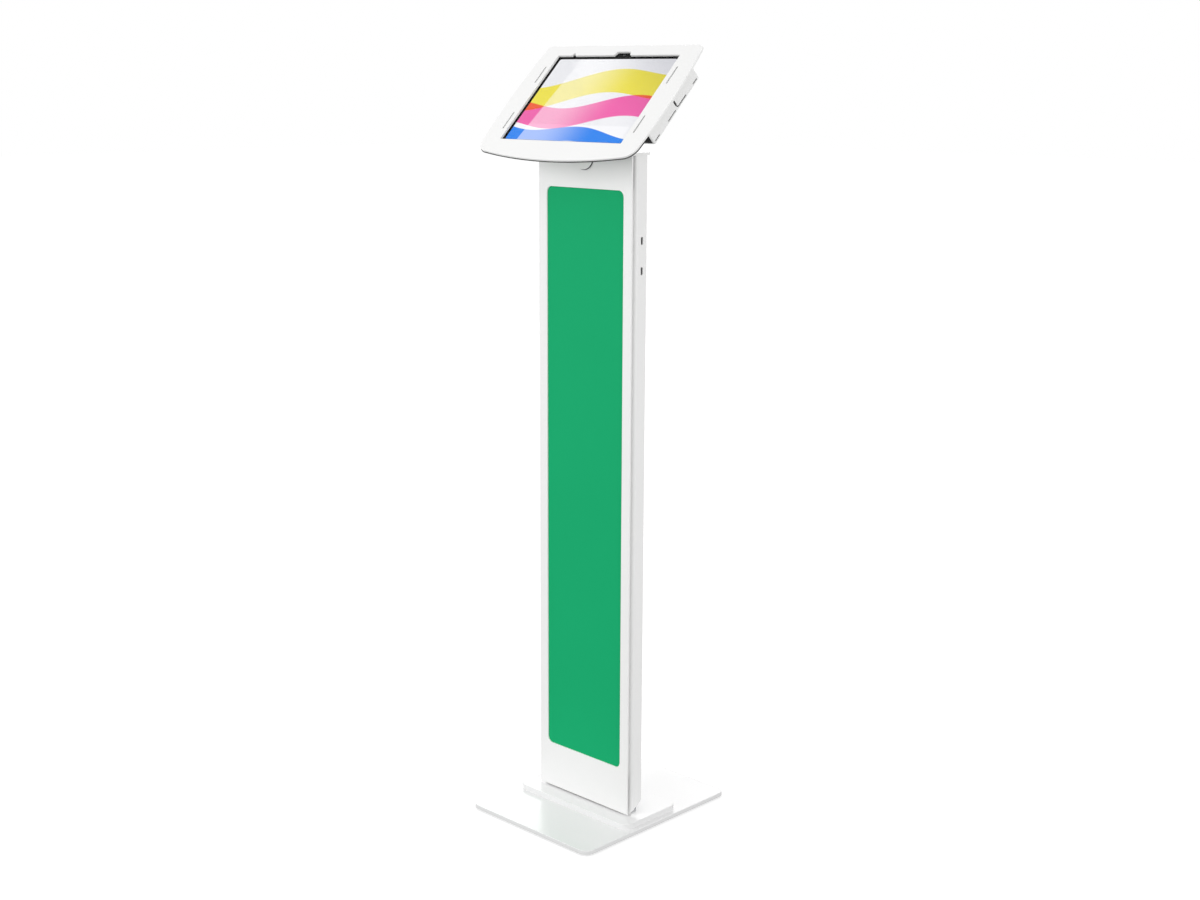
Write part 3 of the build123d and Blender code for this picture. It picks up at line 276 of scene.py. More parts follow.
zinc = new_material("zinc_plate", plated_metal, "#a6abb0", "#bfc3c6", roughness=0.38)
spring_steel = new_material("blued_spring_steel", plated_metal, "#5c6068", "#767b83", roughness=0.3)
dress(zinc, "base_screws", "root_bolts", "column_root", "root_screws", "panel_spacers", "panel_nuts")
dress(zinc, "cover_screws", "cover_clips", "top_plate", "neck_screws", "tongue_spacer", "tongue_nut")
dress(zinc, "stop_pin", "wave_washer", "swivel_plate", "swivel_screws", "ring_nut", "tray_screws")
dress(zinc, "hinge_pins", "frame_hasp", "lock_nut", "lock_cam", "cam_screw")
print("plated:", zinc.name, spring_steel.name)

# %% [markdown]
# The pivot bush is brass, turned on a lathe. The tool leaves fine rings round the axis, so the
# pattern is a Wave texture in the bush's own coordinates: bands along the axis for the round sides,
# rings for the end face. A Mapping node moves the origin to the swivel's axis and tilts it with the
# head.

# %% Turned brass
tool_mark_pitch = 0.35 * mm     # real feed marks are half as far apart
tool_mark_depth = 0.02 * mm
wave_turn = 2 * pi / 20         # a Wave texture of scale 1 repeats after this length
swivel_y = (level("ring_nut", up_screen, 0) + level("ring_nut", up_screen, 1)) / 2


def turned_brass(tree, centre):
    """Brass with the rings that a lathe leaves round an axis through the centre."""
    place = add_node(tree, "TexCoord").outputs["Object"]
    lathe = add_node(tree, "Mapping", {"Vector": place, **to_head(centre)})
    pattern = {"Vector": lathe.outputs[0], "Scale": wave_turn / tool_mark_pitch}
    sides = add_node(tree, "TexWave", pattern, wave_type="BANDS", bands_direction="Z")
    face = add_node(tree, "TexWave", pattern, wave_type="RINGS", rings_direction="Z")
    marks = add_node(tree, "Math", {0: sides.outputs[1], 1: face.outputs[1]}, operation="ADD")
    bump = add_node(
        tree, "Bump", {"Height": marks.outputs[0], "Distance": tool_mark_depth, "Strength": 0.4}
    )
    return add_node(tree, "BsdfPrincipled", {
        "Base Color": linear("#d1ad64"), "Metallic": 1.0, "Roughness": 0.26, "Normal": bump.outputs[0]
    })


brass = new_material("turned_brass", turned_brass, head_point(0, swivel_y, 0))
dress(brass, "pivot_bush")
print("swivel axis at", round(swivel_y / mm, 1), "mm up the head")

# %% [markdown]
# The lock is chromed zinc: nearly a mirror, with a faint haze where hands and keys have touched it.
# The tablet's shell is blasted and anodised aluminium, a fine even grit under a clear skin. Both
# are metals, so only their colour and roughness tell them apart.

# %% Chrome and anodised aluminium
haze_size = 4 * mm
clean_roughness = 0.04
touched_roughness = 0.16
grit_size = 0.25 * mm           # real blasting grit is finer, this is as fine as the picture can hold
grit_height = 0.01 * mm
blasted_roughness = 0.4


def chrome_plate(tree):
    """A bright plated skin, a little hazy where it has been touched."""
    place = add_node(tree, "TexCoord").outputs["Object"]
    haze = add_node(tree, "TexNoise", {"Vector": place, "Scale": 1 / haze_size, "Detail": 3.0})
    rough = add_node(tree, "MapRange", {
        "Value": haze.outputs[0], "To Min": clean_roughness, "To Max": touched_roughness
    })
    return add_node(tree, "BsdfPrincipled", {
        "Base Color": linear("#d8dadc"), "Metallic": 1.0, "Roughness": rough.outputs[0]
    })


def anodised(tree, colour):
    """Blasted aluminium under a clear anodised skin."""
    place = add_node(tree, "TexCoord").outputs["Object"]
    grit = add_node(tree, "TexNoise", {"Vector": place, "Scale": 1 / grit_size, "Detail": 1.0})
    bump = add_node(
        tree, "Bump", {"Height": grit.outputs[0], "Distance": grit_height, "Strength": 0.25}
    )
    return add_node(tree, "BsdfPrincipled", {
        "Base Color": linear(colour),
        "Metallic": 1.0,
        "Roughness": blasted_roughness,
        "Normal": bump.outputs[0],
    })


chrome = new_material("chrome_plate", chrome_plate)
tablet_metal = new_material("anodised_aluminium", anodised, "#cfd1d4")
dress(chrome, "lock_body", "lock_plug")
dress(tablet_metal, "tablet_shell", "power_button", "volume_up_button", "volume_down_button")
print("metals:", chrome.name, tablet_metal.name)

# %% [markdown]
# Rubber and plastics. Moulded rubber is nearly black, dull and slightly pitted. Foam rubber has
# open cells a millimetre across that swallow light. The slide washer is acetal, a waxy dark plastic
# with a soft shine. All three are one recipe, a noise that pits the surface, with a colour, a
# roughness and a pit size of their own. The recipe also serves ink and lens glass further on, with
# pits that are next to nothing.

# %% Rubber, foam and acetal


def moulded(tree, colour, roughness, pit_size, pit_depth, reflection=0.5):
    """A soft or plastic skin with small pits. A reflection of 0.5 is the usual one."""
    place = add_node(tree, "TexCoord").outputs["Object"]
    pits = add_node(tree, "TexNoise", {"Vector": place, "Scale": 1 / pit_size, "Detail": 4.0})
    bump = add_node(tree, "Bump", {"Height": pits.outputs[0], "Distance": pit_depth, "Strength": 0.5})
    return add_node(tree, "BsdfPrincipled", {
        "Base Color": linear(colour),
        "Roughness": roughness,
        "IOR": plastic_index,
        "Specular IOR Level": reflection,
        "Normal": bump.outputs[0],
    })


rubber = new_material(
    "moulded_rubber", moulded, "#1b1b1c", roughness=0.75, pit_size=0.8 * mm, pit_depth=0.1 * mm
)
foam = new_material(
    "foam_rubber", moulded, "#131314", roughness=0.95, pit_size=1.2 * mm, pit_depth=0.6 * mm
)
acetal = new_material(
    "black_acetal", moulded, "#26262a", roughness=0.35, pit_size=0.5 * mm, pit_depth=0.02 * mm
)
dress(rubber, "rubber_feet", "tablet_pads", "tray_bumpers")
dress(foam, "cable_seal")
dress(acetal, "slide_washer")
print("soft parts:", rubber.name, foam.name, acetal.name)

# %% [markdown]
# The insert is a printed board behind the window of the panel: one flat green, screen printed on
# matt card. Ink on board is never perfectly even, so a slow noise moves the green by a hair, and
# the card's fibres, about 0.7 mm long, lift the surface. Matt ink reflects little, so its specular
# level is well under the usual half.

# %% Printed insert board
fibre_length = 0.7 * mm
fibre_height = 0.02 * mm
ink_patch = 200 * mm
board_roughness = 0.62
ink_index = 1.45
ink_reflection = 0.12


def printed_board(tree, colour, deeper):
    """Card with an even print, whose colour drifts to a slightly deeper one."""
    place = add_node(tree, "TexCoord").outputs["Object"]
    slow = add_node(tree, "TexNoise", {"Vector": place, "Scale": 1 / ink_patch, "Detail": 2.0})
    ink = add_node(
        tree, "Mix", {0: slow.outputs[0], 6: linear(colour), 7: linear(deeper)}, data_type="RGBA"
    )
    fibre = add_node(tree, "TexNoise", {"Vector": place, "Scale": 1 / fibre_length, "Detail": 2.0})
    bump = add_node(
        tree, "Bump", {"Height": fibre.outputs[0], "Distance": fibre_height, "Strength": 0.2}
    )
    return add_node(tree, "BsdfPrincipled", {
        "Base Color": ink.outputs[2],
        "Roughness": board_roughness,
        "Normal": bump.outputs[0],
        "IOR": ink_index,
        "Specular IOR Level": ink_reflection,
    })


green_board = new_material("green_printed_board", printed_board, "#0fac6f", "#0da66a")
dress(green_board, "graphic_insert")
print("insert:", green_board.name)

# %% [markdown]
# The tablet's front is one sheet of hardened glass over a lit display. Such glass carries a coating
# against reflections, so its index is set below the 1.5 of bare glass, and a dark edge stays dark
# in a white room. Fingers leave a faint haze, which a slow noise in the roughness stands for.

# %% Cover glass
smear_size = 110 * mm
smear_roughness = 0.03
coated_glass_index = 1.14


def clear_glass(tree):
    """A clear sheet with the haze of finger marks."""
    place = add_node(tree, "TexCoord").outputs["Object"]
    smear = add_node(tree, "TexNoise", {"Vector": place, "Scale": 1 / smear_size, "Detail": 4.0})
    rough = add_node(
        tree, "MapRange", {"Value": smear.outputs[0], "To Min": 0.0, "To Max": smear_roughness}
    )
    return add_node(tree, "BsdfPrincipled", {
        "Base Color": linear("#ffffff"),
        "Roughness": rough.outputs[0],
        "Transmission Weight": 1.0,
        "IOR": coated_glass_index,
    })


glass = new_material("cover_glass", clear_glass)
dress(glass, "tablet_glass")
print("glass:", glass.name)

# %% [markdown]
# The display glows by itself. Its picture is a plain abstract one in the screen's own x and y: a
# pale ground that darkens to one corner, and three wavy ribbons that deepen where they cross, as
# inks do. Each ribbon is one sine wave: the distance from the wave's line, in metres, is turned to
# 1 inside the ribbon and 0 outside. Over it lies a painted reflection: a slanted band of glare,
# drawn into the display's own glow and brightest along its left edge.

# %% Lit display: the numbers
half_width = span("tablet_display", across)[1]
half_height = (span("tablet_display", up_screen)[1] - span("tablet_display", up_screen)[0]) / 2
ribbon_edge = 0.3 * mm
pale_ground = "#dedee1"
dark_ground = "#c4c4c9"
ground_slope = 0.9              # how much of y goes into the slant of the ground's shading
ground_from = 30 * mm           # along that slant, where the shading starts
ground_to = 190 * mm
ribbons = [
    # colour, height at the middle, rise, swing, wave in radians per metre, its start, thickness
    ("#fff14e", 22 * mm, 0.10, 12 * mm, 24.0, 1.2, 44 * mm),
    ("#ff68b4", -24 * mm, 0.06, 10 * mm, 27.0, -0.6, 38 * mm),
    ("#1f86f2", -69 * mm, -0.06, 7 * mm, 31.0, 0.9, 26 * mm),
]
# The band of light is a painted reflection of glare, drawn into the display's own glow.
sheen_lean = -0.12              # how far the band of light leans, per metre of height
sheen_start = -79 * mm
sheen_edge = 1 * mm
sheen_full = -50 * mm
sheen_end = 60 * mm
sheen_strength = 0.3
display_glow = 1.3
display_roughness = 0.5
display_reflection = 0.05       # the glass in front of it does the mirroring
print("display:", round(2 * half_width / mm), "x", round(2 * half_height / mm), "mm")

# %% Lit display: the ground and the ribbons


def shaded_ground(tree, x, y):
    """The pale ground, darker towards one corner. Returns the output that carries its colour."""
    slant = add_node(tree, "Math", {0: y, 1: ground_slope, 2: x}, operation="MULTIPLY_ADD")
    shading = add_node(tree, "MapRange", {
        "Value": slant.outputs[0], "From Min": ground_from, "From Max": ground_to
    }, interpolation_type="SMOOTHSTEP")
    ground = add_node(tree, "Mix", {
        0: shading.outputs[0], 6: linear(pale_ground), 7: linear(dark_ground)
    }, data_type="RGBA")
    return ground.outputs[2]


def ribbon_over(tree, x, y, picture, ribbon):
    """One ribbon printed over a picture."""
    colour, height, rise, swing, wave, start, thickness = ribbon
    line = add_node(tree, "Math", {0: x, 1: rise, 2: height}, operation="MULTIPLY_ADD")
    angle = add_node(tree, "Math", {0: x, 1: wave, 2: start}, operation="MULTIPLY_ADD")
    sine = add_node(tree, "Math", {0: angle.outputs[0]}, operation="SINE")
    curve = add_node(
        tree, "Math", {0: sine.outputs[0], 1: swing, 2: line.outputs[0]}, operation="MULTIPLY_ADD"
    )
    above = add_node(tree, "Math", {0: y, 1: curve.outputs[0]}, operation="SUBTRACT")
    away = add_node(tree, "Math", {0: above.outputs[0]}, operation="ABSOLUTE")
    inside = add_node(tree, "MapRange", {
        "Value": away.outputs[0],
        "From Min": thickness / 2 - ribbon_edge,
        "From Max": thickness / 2 + ribbon_edge,
        "To Min": 1.0,
        "To Max": 0.0,
    })
    printed = add_node(tree, "Mix", {
        0: inside.outputs[0], 6: picture, 7: linear(colour)
    }, data_type="RGBA", blend_type="MULTIPLY")
    return printed.outputs[2]


print("ribbons:", len(ribbons))

# %% Lit display: the band of light


def sheen_over(tree, x, y, picture):
    """The slanted band of light, a painted reflection of glare, over a picture."""
    lean = add_node(tree, "Math", {0: y, 1: sheen_lean, 2: x}, operation="MULTIPLY_ADD")
    rise_of_sheen = add_node(tree, "MapRange", {
        "Value": lean.outputs[0], "From Min": sheen_start, "From Max": sheen_start + sheen_edge
    })
    fall_of_sheen = add_node(tree, "MapRange", {
        "Value": lean.outputs[0],
        "From Min": sheen_full,
        "From Max": sheen_end,
        "To Min": sheen_strength,
        "To Max": 0.0,
    }, interpolation_type="SMOOTHSTEP")
    sheen = add_node(
        tree, "Math", {0: rise_of_sheen.outputs[0], 1: fall_of_sheen.outputs[0]}, operation="MULTIPLY"
    )
    lit = add_node(
        tree, "Mix", {0: sheen.outputs[0], 6: picture, 7: linear("#ffffff")}, data_type="RGBA"
    )
    return lit.outputs[2]


print("band of light:", round((sheen_end - sheen_start) / mm), "mm wide")

# %% Lit display: the material


def lit_display(tree):
    """A black panel that glows with the picture."""
    place = add_node(tree, "TexCoord").outputs["Object"]
    screen = add_node(tree, "Mapping", {"Vector": place, **to_head(head_origin)})
    spot = add_node(tree, "SeparateXYZ", {"Vector": screen.outputs[0]})
    x, y = spot.outputs[0], spot.outputs[1]
    picture = shaded_ground(tree, x, y)
    for ribbon in ribbons:
        picture = ribbon_over(tree, x, y, picture, ribbon)
    return add_node(tree, "BsdfPrincipled", {
        "Base Color": linear("#050505"),
        "Roughness": display_roughness,
        "Specular IOR Level": display_reflection,
        "Emission Color": sheen_over(tree, x, y, picture),
        "Emission Strength": display_glow,
    })


display = new_material("lit_display", lit_display)
dress(display, "tablet_display")
print("display:", display.name, "glows", display_glow)

# %% [markdown]
# Helpers for new pieces. Each piece starts as a bmesh, is shaped by operators and is then linked:
# its place goes into its mesh, it rides on a body of the model and takes its finish slot. Smooth
# shading with sharp edges kept over 35 degrees looks right on both turned and folded shapes.

# %% Helpers for pieces
sharp_angle = radians(35)
merge_distance = 0.001 * mm


def link_mesh(name, shape, material, body, matrix=None):
    """Turn a bmesh into a piece that rides on a body, with its place in its mesh."""
    if matrix is not None:
        bmesh.ops.transform(shape, matrix=matrix, verts=shape.verts)
    mesh = bpy.data.meshes.new(name)
    shape.to_mesh(mesh)
    shape.free()
    mesh.shade_smooth()
    mesh.set_sharp_from_angle(angle=sharp_angle)
    piece = bpy.data.objects.new(name, mesh)
    bpy.context.collection.objects.link(piece)
    mesh.materials.append(material)
    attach(piece, body)
    print(name, "has", len(mesh.polygons), "faces and rides on", body)
    return piece


def solids_of(node):
    """The points of each separate solid in a CAD node, from a merged copy of its mesh."""
    shape = bmesh.new()
    shape.from_mesh(nodes[node].data)
    bmesh.ops.remove_doubles(shape, verts=shape.verts, dist=merge_distance)
    seen = set()
    solids = []
    for first in shape.verts:
        if first in seen:
            continue
        seen.add(first)
        waiting = [first]
        points = []
        while waiting:
            vertex = waiting.pop()
            points.append(vertex.co.copy())
            for edge in vertex.link_edges:
                other = edge.other_vert(vertex)
                if other not in seen:
                    seen.add(other)
                    waiting.append(other)
        solids.append(points)
    shape.free()
    return solids


def corners_along(points, axes, origin):
    """Lowest and highest corner of some points along three axes, measured from an origin."""
    places = [[axis.dot(point - origin) for point in points] for axis in axes]
    return Vector([min(row) for row in places]), Vector([max(row) for row in places])


def join(shape, part, matrix=None):
    """Add a finished part to a shape, moved by a matrix. A mesh carries it across."""
    if matrix is not None:
        bmesh.ops.transform(part, matrix=matrix, verts=part.verts)
    carrier = bpy.data.meshes.new("carrier")
    part.to_mesh(carrier)
    part.free()
    shape.from_mesh(carrier)
    bpy.data.meshes.remove(carrier)


def turned_piece(profile, steps):
    """Spin a profile of (radius, height) points a full turn about Z."""
    part = bmesh.new()
    corners = [part.verts.new((radius, 0, height)) for radius, height in profile]
    edges = [part.edges.new(pair) for pair in zip(corners, corners[1:])]
    bmesh.ops.spin(
        part, geom=corners + edges, cent=(0, 0, 0), axis=(0, 0, 1), dvec=(0, 0, 0),
        angle=2 * pi, steps=steps, use_merge=True, use_duplicate=False
    )
    bmesh.ops.remove_doubles(part, verts=part.verts, dist=merge_distance)
    bmesh.ops.recalc_face_normals(part, faces=part.faces)
    return part


def rounded_block(low, high, edge, segments=3):
    """A block between two corners with rounded edges."""
    part = bmesh.new()
    bmesh.ops.create_cube(part, size=1)
    bmesh.ops.scale(part, vec=high - low, verts=part.verts)
    bmesh.ops.translate(part, vec=(low + high) / 2, verts=part.verts)
    bmesh.ops.bevel(
        part, geom=part.edges[:], offset=edge, offset_type="OFFSET", segments=segments, profile=0.5,
        affect="EDGES", material=-1
    )
    return part


head_axes = (across, up_screen, out_of_screen)
stand_axes = (Vector((1, 0, 0)), Vector((0, 1, 0)), Vector((0, 0, 1)))
print("piece helpers ready")

# %% [markdown]
# The black border round the display is ink, printed on the back of the glass. In the solids that
# place is the bare floor of the shell's recess, so a thin ring goes there. It could be one face
# with a hole cut by a boolean. Two rounded rectangles whose faces are deleted and whose outlines
# are bridged give the same ring with clean faces, and solidify gives it a skin's thickness.

# %% Black border behind the glass
black_ink = new_material(
    "black_border_ink", moulded, "#030304", roughness=0.5, pit_size=3 * mm, pit_depth=0.005 * mm,
    reflection=0.08
)
ink_margin = 1.2 * mm           # bare edge of the glass outside the ink
ink_thickness = 0.02 * mm
ink_corner = 16 * mm
ink_overlap = 2.2 * mm          # the ink covers the edge of the lit area
display_corner = 3 * mm
corner_steps = 6
glass_half_width = span("tablet_glass", across)[1]
glass_half_height = (span("tablet_glass", up_screen)[1] - span("tablet_glass", up_screen)[0]) / 2
ink_level = level("tablet_glass", out_of_screen, 0) + 2 * ink_thickness


def add_rounded_rectangle(shape, width, height, corner):
    """A flat face with rounded corners, centred at the origin."""
    made = bmesh.ops.create_grid(shape, x_segments=1, y_segments=1, size=0.5)["verts"]
    bmesh.ops.scale(shape, vec=(width, height, 1), verts=made)
    bmesh.ops.bevel(
        shape, geom=made, offset=corner, offset_type="OFFSET", segments=corner_steps,
        profile=0.5, affect="VERTICES", material=-1
    )


border_size = (2 * (glass_half_width - ink_margin), 2 * (glass_half_height - ink_margin))
opening_size = (2 * (half_width - ink_overlap), 2 * (half_height - ink_overlap))
border = bmesh.new()
add_rounded_rectangle(border, *border_size, ink_corner)
add_rounded_rectangle(border, *opening_size, display_corner)
bmesh.ops.delete(border, geom=border.faces[:], context="FACES_ONLY")
bmesh.ops.bridge_loops(border, edges=border.edges[:])
bmesh.ops.recalc_face_normals(border, faces=border.faces[:])
bmesh.ops.solidify(border, geom=border.faces[:], thickness=ink_thickness)
link_mesh("black_border", border, black_ink, "housing", head_matrix(0, 0, ink_level))

# %% [markdown]
# Two openings in the border, under the notches of the front frame: the camera's lens and a light
# sensor. A lens is a small dome of dark glass in a black ring. Both are turned shapes, so a profile
# of a few points is spun about the lens's axis.

# %% Camera lens and light sensor
eyes = [
    # name, place across, place up, radius of the dark glass
    ("camera_lens", 9 * mm, 84.2 * mm, 1.3 * mm),
    ("light_sensor", -85 * mm, 82.6 * mm, 0.7 * mm),
]
ring_share = 1.45               # outer radius of the ring, as a share of the dark glass's radius
ring_height = 0.12 * mm
dome_height = 0.2 * mm
dome_shoulder = 0.7             # where the dome bends, as a share of its radius and of its height
eye_steps = 32
lens_glass = new_material(
    "coated_lens_glass", moulded, "#10131f", roughness=0.06, pit_size=2 * mm, pit_depth=0.001 * mm
)
for name, x, y, radius in eyes:
    place = head_matrix(x, y, ink_level + ink_thickness)
    shoulder = (dome_shoulder * radius, dome_shoulder * dome_height)
    dome = turned_piece([(0, 0), (radius, 0), shoulder, (0, dome_height)], eye_steps)
    link_mesh(name, dome, lens_glass, "housing", place)
    outer = ring_share * radius
    profile = [(radius, 0), (outer, 0), (outer, ring_height), (radius, ring_height), (radius, 0)]
    ring = turned_piece(profile, eye_steps)
    link_mesh(f"{name}_ring", ring, acetal, "housing", place)

# %% [markdown]
# The wave washer under the ring nut is a spring: a flat steel ring, pressed into three waves, that
# keeps the swivel tight. The model's solid is the plain ring that the waves fill. Here a small
# rectangle is spun into a ring, and each vertex is then moved along the axis by the cosine of three
# times its angle.

# %% Wave washer
washer_waves = 3
washer_sheet = 0.4 * mm
washer_steps = 96
washer_points = solids_of("wave_washer")[0]
washer_low, washer_high = corners_along(washer_points, head_axes, head_point(0, swivel_y, 0))
washer_outer = washer_high.x
washer_inner = min(
    sqrt(across.dot(point - head_origin) ** 2 + (up_screen.dot(point - head_origin) - swivel_y) ** 2)
    for point in washer_points
)
wave_height = (washer_high.z - washer_low.z - washer_sheet) / 2
profile = [
    (washer_inner, -washer_sheet / 2),
    (washer_outer, -washer_sheet / 2),
    (washer_outer, washer_sheet / 2),
    (washer_inner, washer_sheet / 2),
    (washer_inner, -washer_sheet / 2),
]
washer = turned_piece(profile, washer_steps)
for vertex in washer.verts:
    vertex.co.z += wave_height * cos(washer_waves * atan2(vertex.co.y, vertex.co.x))
wave_spring = link_mesh(
    "wave_spring", washer, spring_steel, "stand",
    head_matrix(0, swivel_y, (washer_low.z + washer_high.z) / 2)
)
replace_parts(wave_spring, "wave_washer")

# %% [markdown]
# The rubber feet. A foot is a moulded disc with rings on its underside that grip the floor.
# Spinning a stepped profile makes the disc and the rings in one go. The rings are cut into the
# foot, so it stands as high as before.

# %% Ribbed feet
foot_steps = 48
rib_depth = 0.6 * mm
rib_pitch = 2.4 * mm
rib_edge = 0.3 * mm
rib_count = 4
feet = bmesh.new()
for points in solids_of("rubber_feet"):
    low, high = corners_along(points, stand_axes, Vector((0, 0, 0)))
    radius = (high.x - low.x) / 2
    profile = [(0, high.z), (radius, high.z), (radius, 2 * rib_edge), (radius - 2 * rib_edge, 0)]
    for index in range(1, rib_count + 1):
        rib_end = radius - index * rib_pitch
        profile += [
            (rib_end + rib_pitch / 2, 0),
            (rib_end + rib_pitch / 2 - rib_edge, rib_depth),
            (rib_end + rib_edge, rib_depth),
            (rib_end, 0),
        ]
    profile.append((0, 0))
    place = Matrix.Translation(((low.x + high.x) / 2, (low.y + high.y) / 2, 0))
    join(feet, turned_piece(profile, foot_steps), place)
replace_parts(link_mesh("ribbed_feet", feet, rubber, "stand"), "rubber_feet")

# %% [markdown]
# The pads and bumpers that hold the tablet. They are strips of rubber, cut from a sheet and glued
# in. A cut strip has soft edges and grooves along it that let it give. A block with bevelled edges
# is the strip, and a row of narrower blocks on it makes the ridges between the grooves.

# %% A ridged strip
ridge_count = 4
ridge_share = 0.62              # how much of its space each ridge fills
strip_share = 0.6               # height of the strip under its ridges, as a share of the whole height
strip_edge_share = 0.15         # how round its edges are, as a share of the whole height


def add_ridged_strip(shape, low, high, height_axis, ridges_up):
    """Add a strip between two corners, whose ridges run along it and stand up or hang down."""
    size = high - low
    long_axis = max(range(3), key=lambda axis: size[axis])
    cross_axis = 3 - long_axis - height_axis
    edge = strip_edge_share * size[height_axis]
    foot_low, foot_high = low.copy(), high.copy()
    if ridges_up:
        foot_high[height_axis] = low[height_axis] + strip_share * size[height_axis]
    else:
        foot_low[height_axis] = high[height_axis] - strip_share * size[height_axis]
    join(shape, rounded_block(foot_low, foot_high, edge))
    space = size[cross_axis] / ridge_count
    for index in range(ridge_count):
        ridge_low, ridge_high = low.copy(), high.copy()
        ridge_middle = low[cross_axis] + (index + 0.5) * space
        ridge_low[cross_axis] = ridge_middle - ridge_share * space / 2
        ridge_high[cross_axis] = ridge_middle + ridge_share * space / 2
        ridge_low[long_axis] += edge
        ridge_high[long_axis] -= edge
        if ridges_up:
            ridge_low[height_axis] += edge
        else:
            ridge_high[height_axis] -= edge
        join(shape, rounded_block(ridge_low, ridge_high, edge))


print("ridges on each strip:", ridge_count)

# %% Tablet pads and tray bumpers
ridged_pieces = [
    # node, new piece, the axis of its height, or none where each strip's thinnest way is its height
    ("tablet_pads", "ridged_pads", 2),
    ("tray_bumpers", "ridged_bumpers", None),
]
for node, name, thin_axis in ridged_pieces:
    strips = bmesh.new()
    for points in solids_of(node):
        low, high = corners_along(points, head_axes, head_origin)
        size = high - low
        height_axis = min(range(3), key=lambda axis: size[axis]) if thin_axis is None else thin_axis
        ridges_up = height_axis == 2 or (low + high)[height_axis] < 0
        add_ridged_strip(strips, low, high, height_axis, ridges_up)
    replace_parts(link_mesh(name, strips, rubber, "housing", head_matrix()), node)

# %% [markdown]
# The seal in the cable mouth of the rear box. It is a block of foam, slit along its middle and cut
# across into fingers, so that a plug can be pushed through and the foam closes round the cable.
# Each finger is a block with rounded edges, and two rows of them meet at the slit.

# %% Slit foam seal
finger_count = 6
finger_gap = 0.15 * mm
finger_edge = 0.9 * mm
seal_low, seal_high = corners_along(solids_of("cable_seal")[0], head_axes, head_origin)
seal_slit = (seal_low.z + seal_high.z) / 2
finger_space = (seal_high.x - seal_low.x) / finger_count
finger_rows = ((seal_low.z, seal_slit - finger_gap / 2), (seal_slit + finger_gap / 2, seal_high.z))
fingers = bmesh.new()
for row_low, row_high in finger_rows:
    for index in range(finger_count):
        start = seal_low.x + index * finger_space
        end = start + finger_space
        low = Vector((start + finger_gap / 2 * (index > 0), seal_low.y, row_low))
        high = Vector((end - finger_gap / 2 * (index < finger_count - 1), seal_high.y, row_high))
        join(fingers, rounded_block(low, high, finger_edge))
seal = link_mesh("slit_foam_seal", fingers, foam, "housing", head_matrix())
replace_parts(seal, "cable_seal")

# %% [markdown]
# The outer screws are tamper proof: a pin stands in the middle of each socket, so a common key
# can't enter. A pin is a short turned peg. Its foot stands on the socket's floor, which is read
# from the screw's own points, and its tip ends just under the face of the head.

# %% Security pins
pin_share = 0.15                # radius of the pin, as a share of the head's radius
socket_share = 0.45             # every point of a socket lies within this share of the head's radius
pin_short = 0.3 * mm
pin_steps = 16
upward, backward = Vector((0, 0, 1)), Vector((0, 1, 0))


def socket_floor(points, facing, centre, face, head_radius):
    """Where the floor of a screw's socket lies along its facing, from points near its axis and face."""
    levels = []
    for point in points:
        reach = facing.dot(point)
        aside = point - centre - facing * facing.dot(point - centre)
        if aside.length < socket_share * head_radius and face - reach < head_radius:
            levels.append(reach)
    return min(levels)


pins = bmesh.new()
for node, facing in (
    ("cover_screws", backward), ("neck_screws", upward), ("base_screws", -upward), ("root_bolts", -upward)
):
    for points in solids_of(node):
        low, high = corners_along(points, stand_axes, Vector((0, 0, 0)))
        centre = (low + high) / 2
        head_radius = (high.x - low.x) / 2
        face = max(facing.dot(point) for point in points)
        floor_height = socket_floor(points, facing, centre, face, head_radius)
        pin_radius = pin_share * head_radius
        pin_height = face - floor_height - pin_short
        profile = [
            (0, 0),
            (pin_radius, 0),
            (pin_radius, pin_height - pin_radius / 2),
            (pin_radius / 2, pin_height),
            (0, pin_height),
        ]
        foot = centre + facing * (floor_height - facing.dot(centre))
        turn = facing.to_track_quat("Z", "Y").to_matrix().to_4x4()
        join(pins, turned_piece(profile, pin_steps), Matrix.Translation(foot) @ turn)
link_mesh("security_pins", pins, zinc, "stand")

# %% [markdown]
# The neck bracket is welded from plates, and so are the hinge lugs to the tray. A weld shows as a
# bead with ripples, one for each dip of the rod, which the powder coat softens but doesn't hide. A
# bead is a cylinder, cut into many slices along its length, whose rings then swell and shrink, and
# close to a tip at both ends.

# %% Weld beads
ripple_pitch = 1.7 * mm
ripple_depth_share = 0.12
slices_per_ripple = 4
bead_sides = 10
tip_share = 0.2                 # radius of a bead's tip, as a share of the bead's


def weld_bead(start, end, radius):
    """A rippled bead as long as two points are apart, and the matrix that carries it there."""
    bead = bmesh.new()
    length = (end - start).length
    bmesh.ops.create_cone(
        bead, cap_ends=True, cap_tris=False, segments=bead_sides, radius1=radius, radius2=radius,
        depth=length
    )
    long_edges = [edge for edge in bead.edges if edge.calc_length() > length / 2]
    cuts = int(slices_per_ripple * length / ripple_pitch)
    bmesh.ops.subdivide_edges(bead, edges=long_edges, cuts=cuts, use_grid_fill=True)
    for vertex in bead.verts:
        along = vertex.co.z + length / 2
        swell = 1 - ripple_depth_share * (1 - cos(2 * pi * along / ripple_pitch)) / 2
        to_end = min(max(min(along, length - along) / radius, 0), 1)
        close = max(sqrt(1 - (1 - to_end) ** 2), tip_share)
        vertex.co.x *= swell * close
        vertex.co.y *= swell * close
    turn = (end - start).to_track_quat("Z", "Y").to_matrix().to_4x4()
    return bead, Matrix.Translation((start + end) / 2) @ turn


print("ripples every", ripple_pitch / mm, "mm")

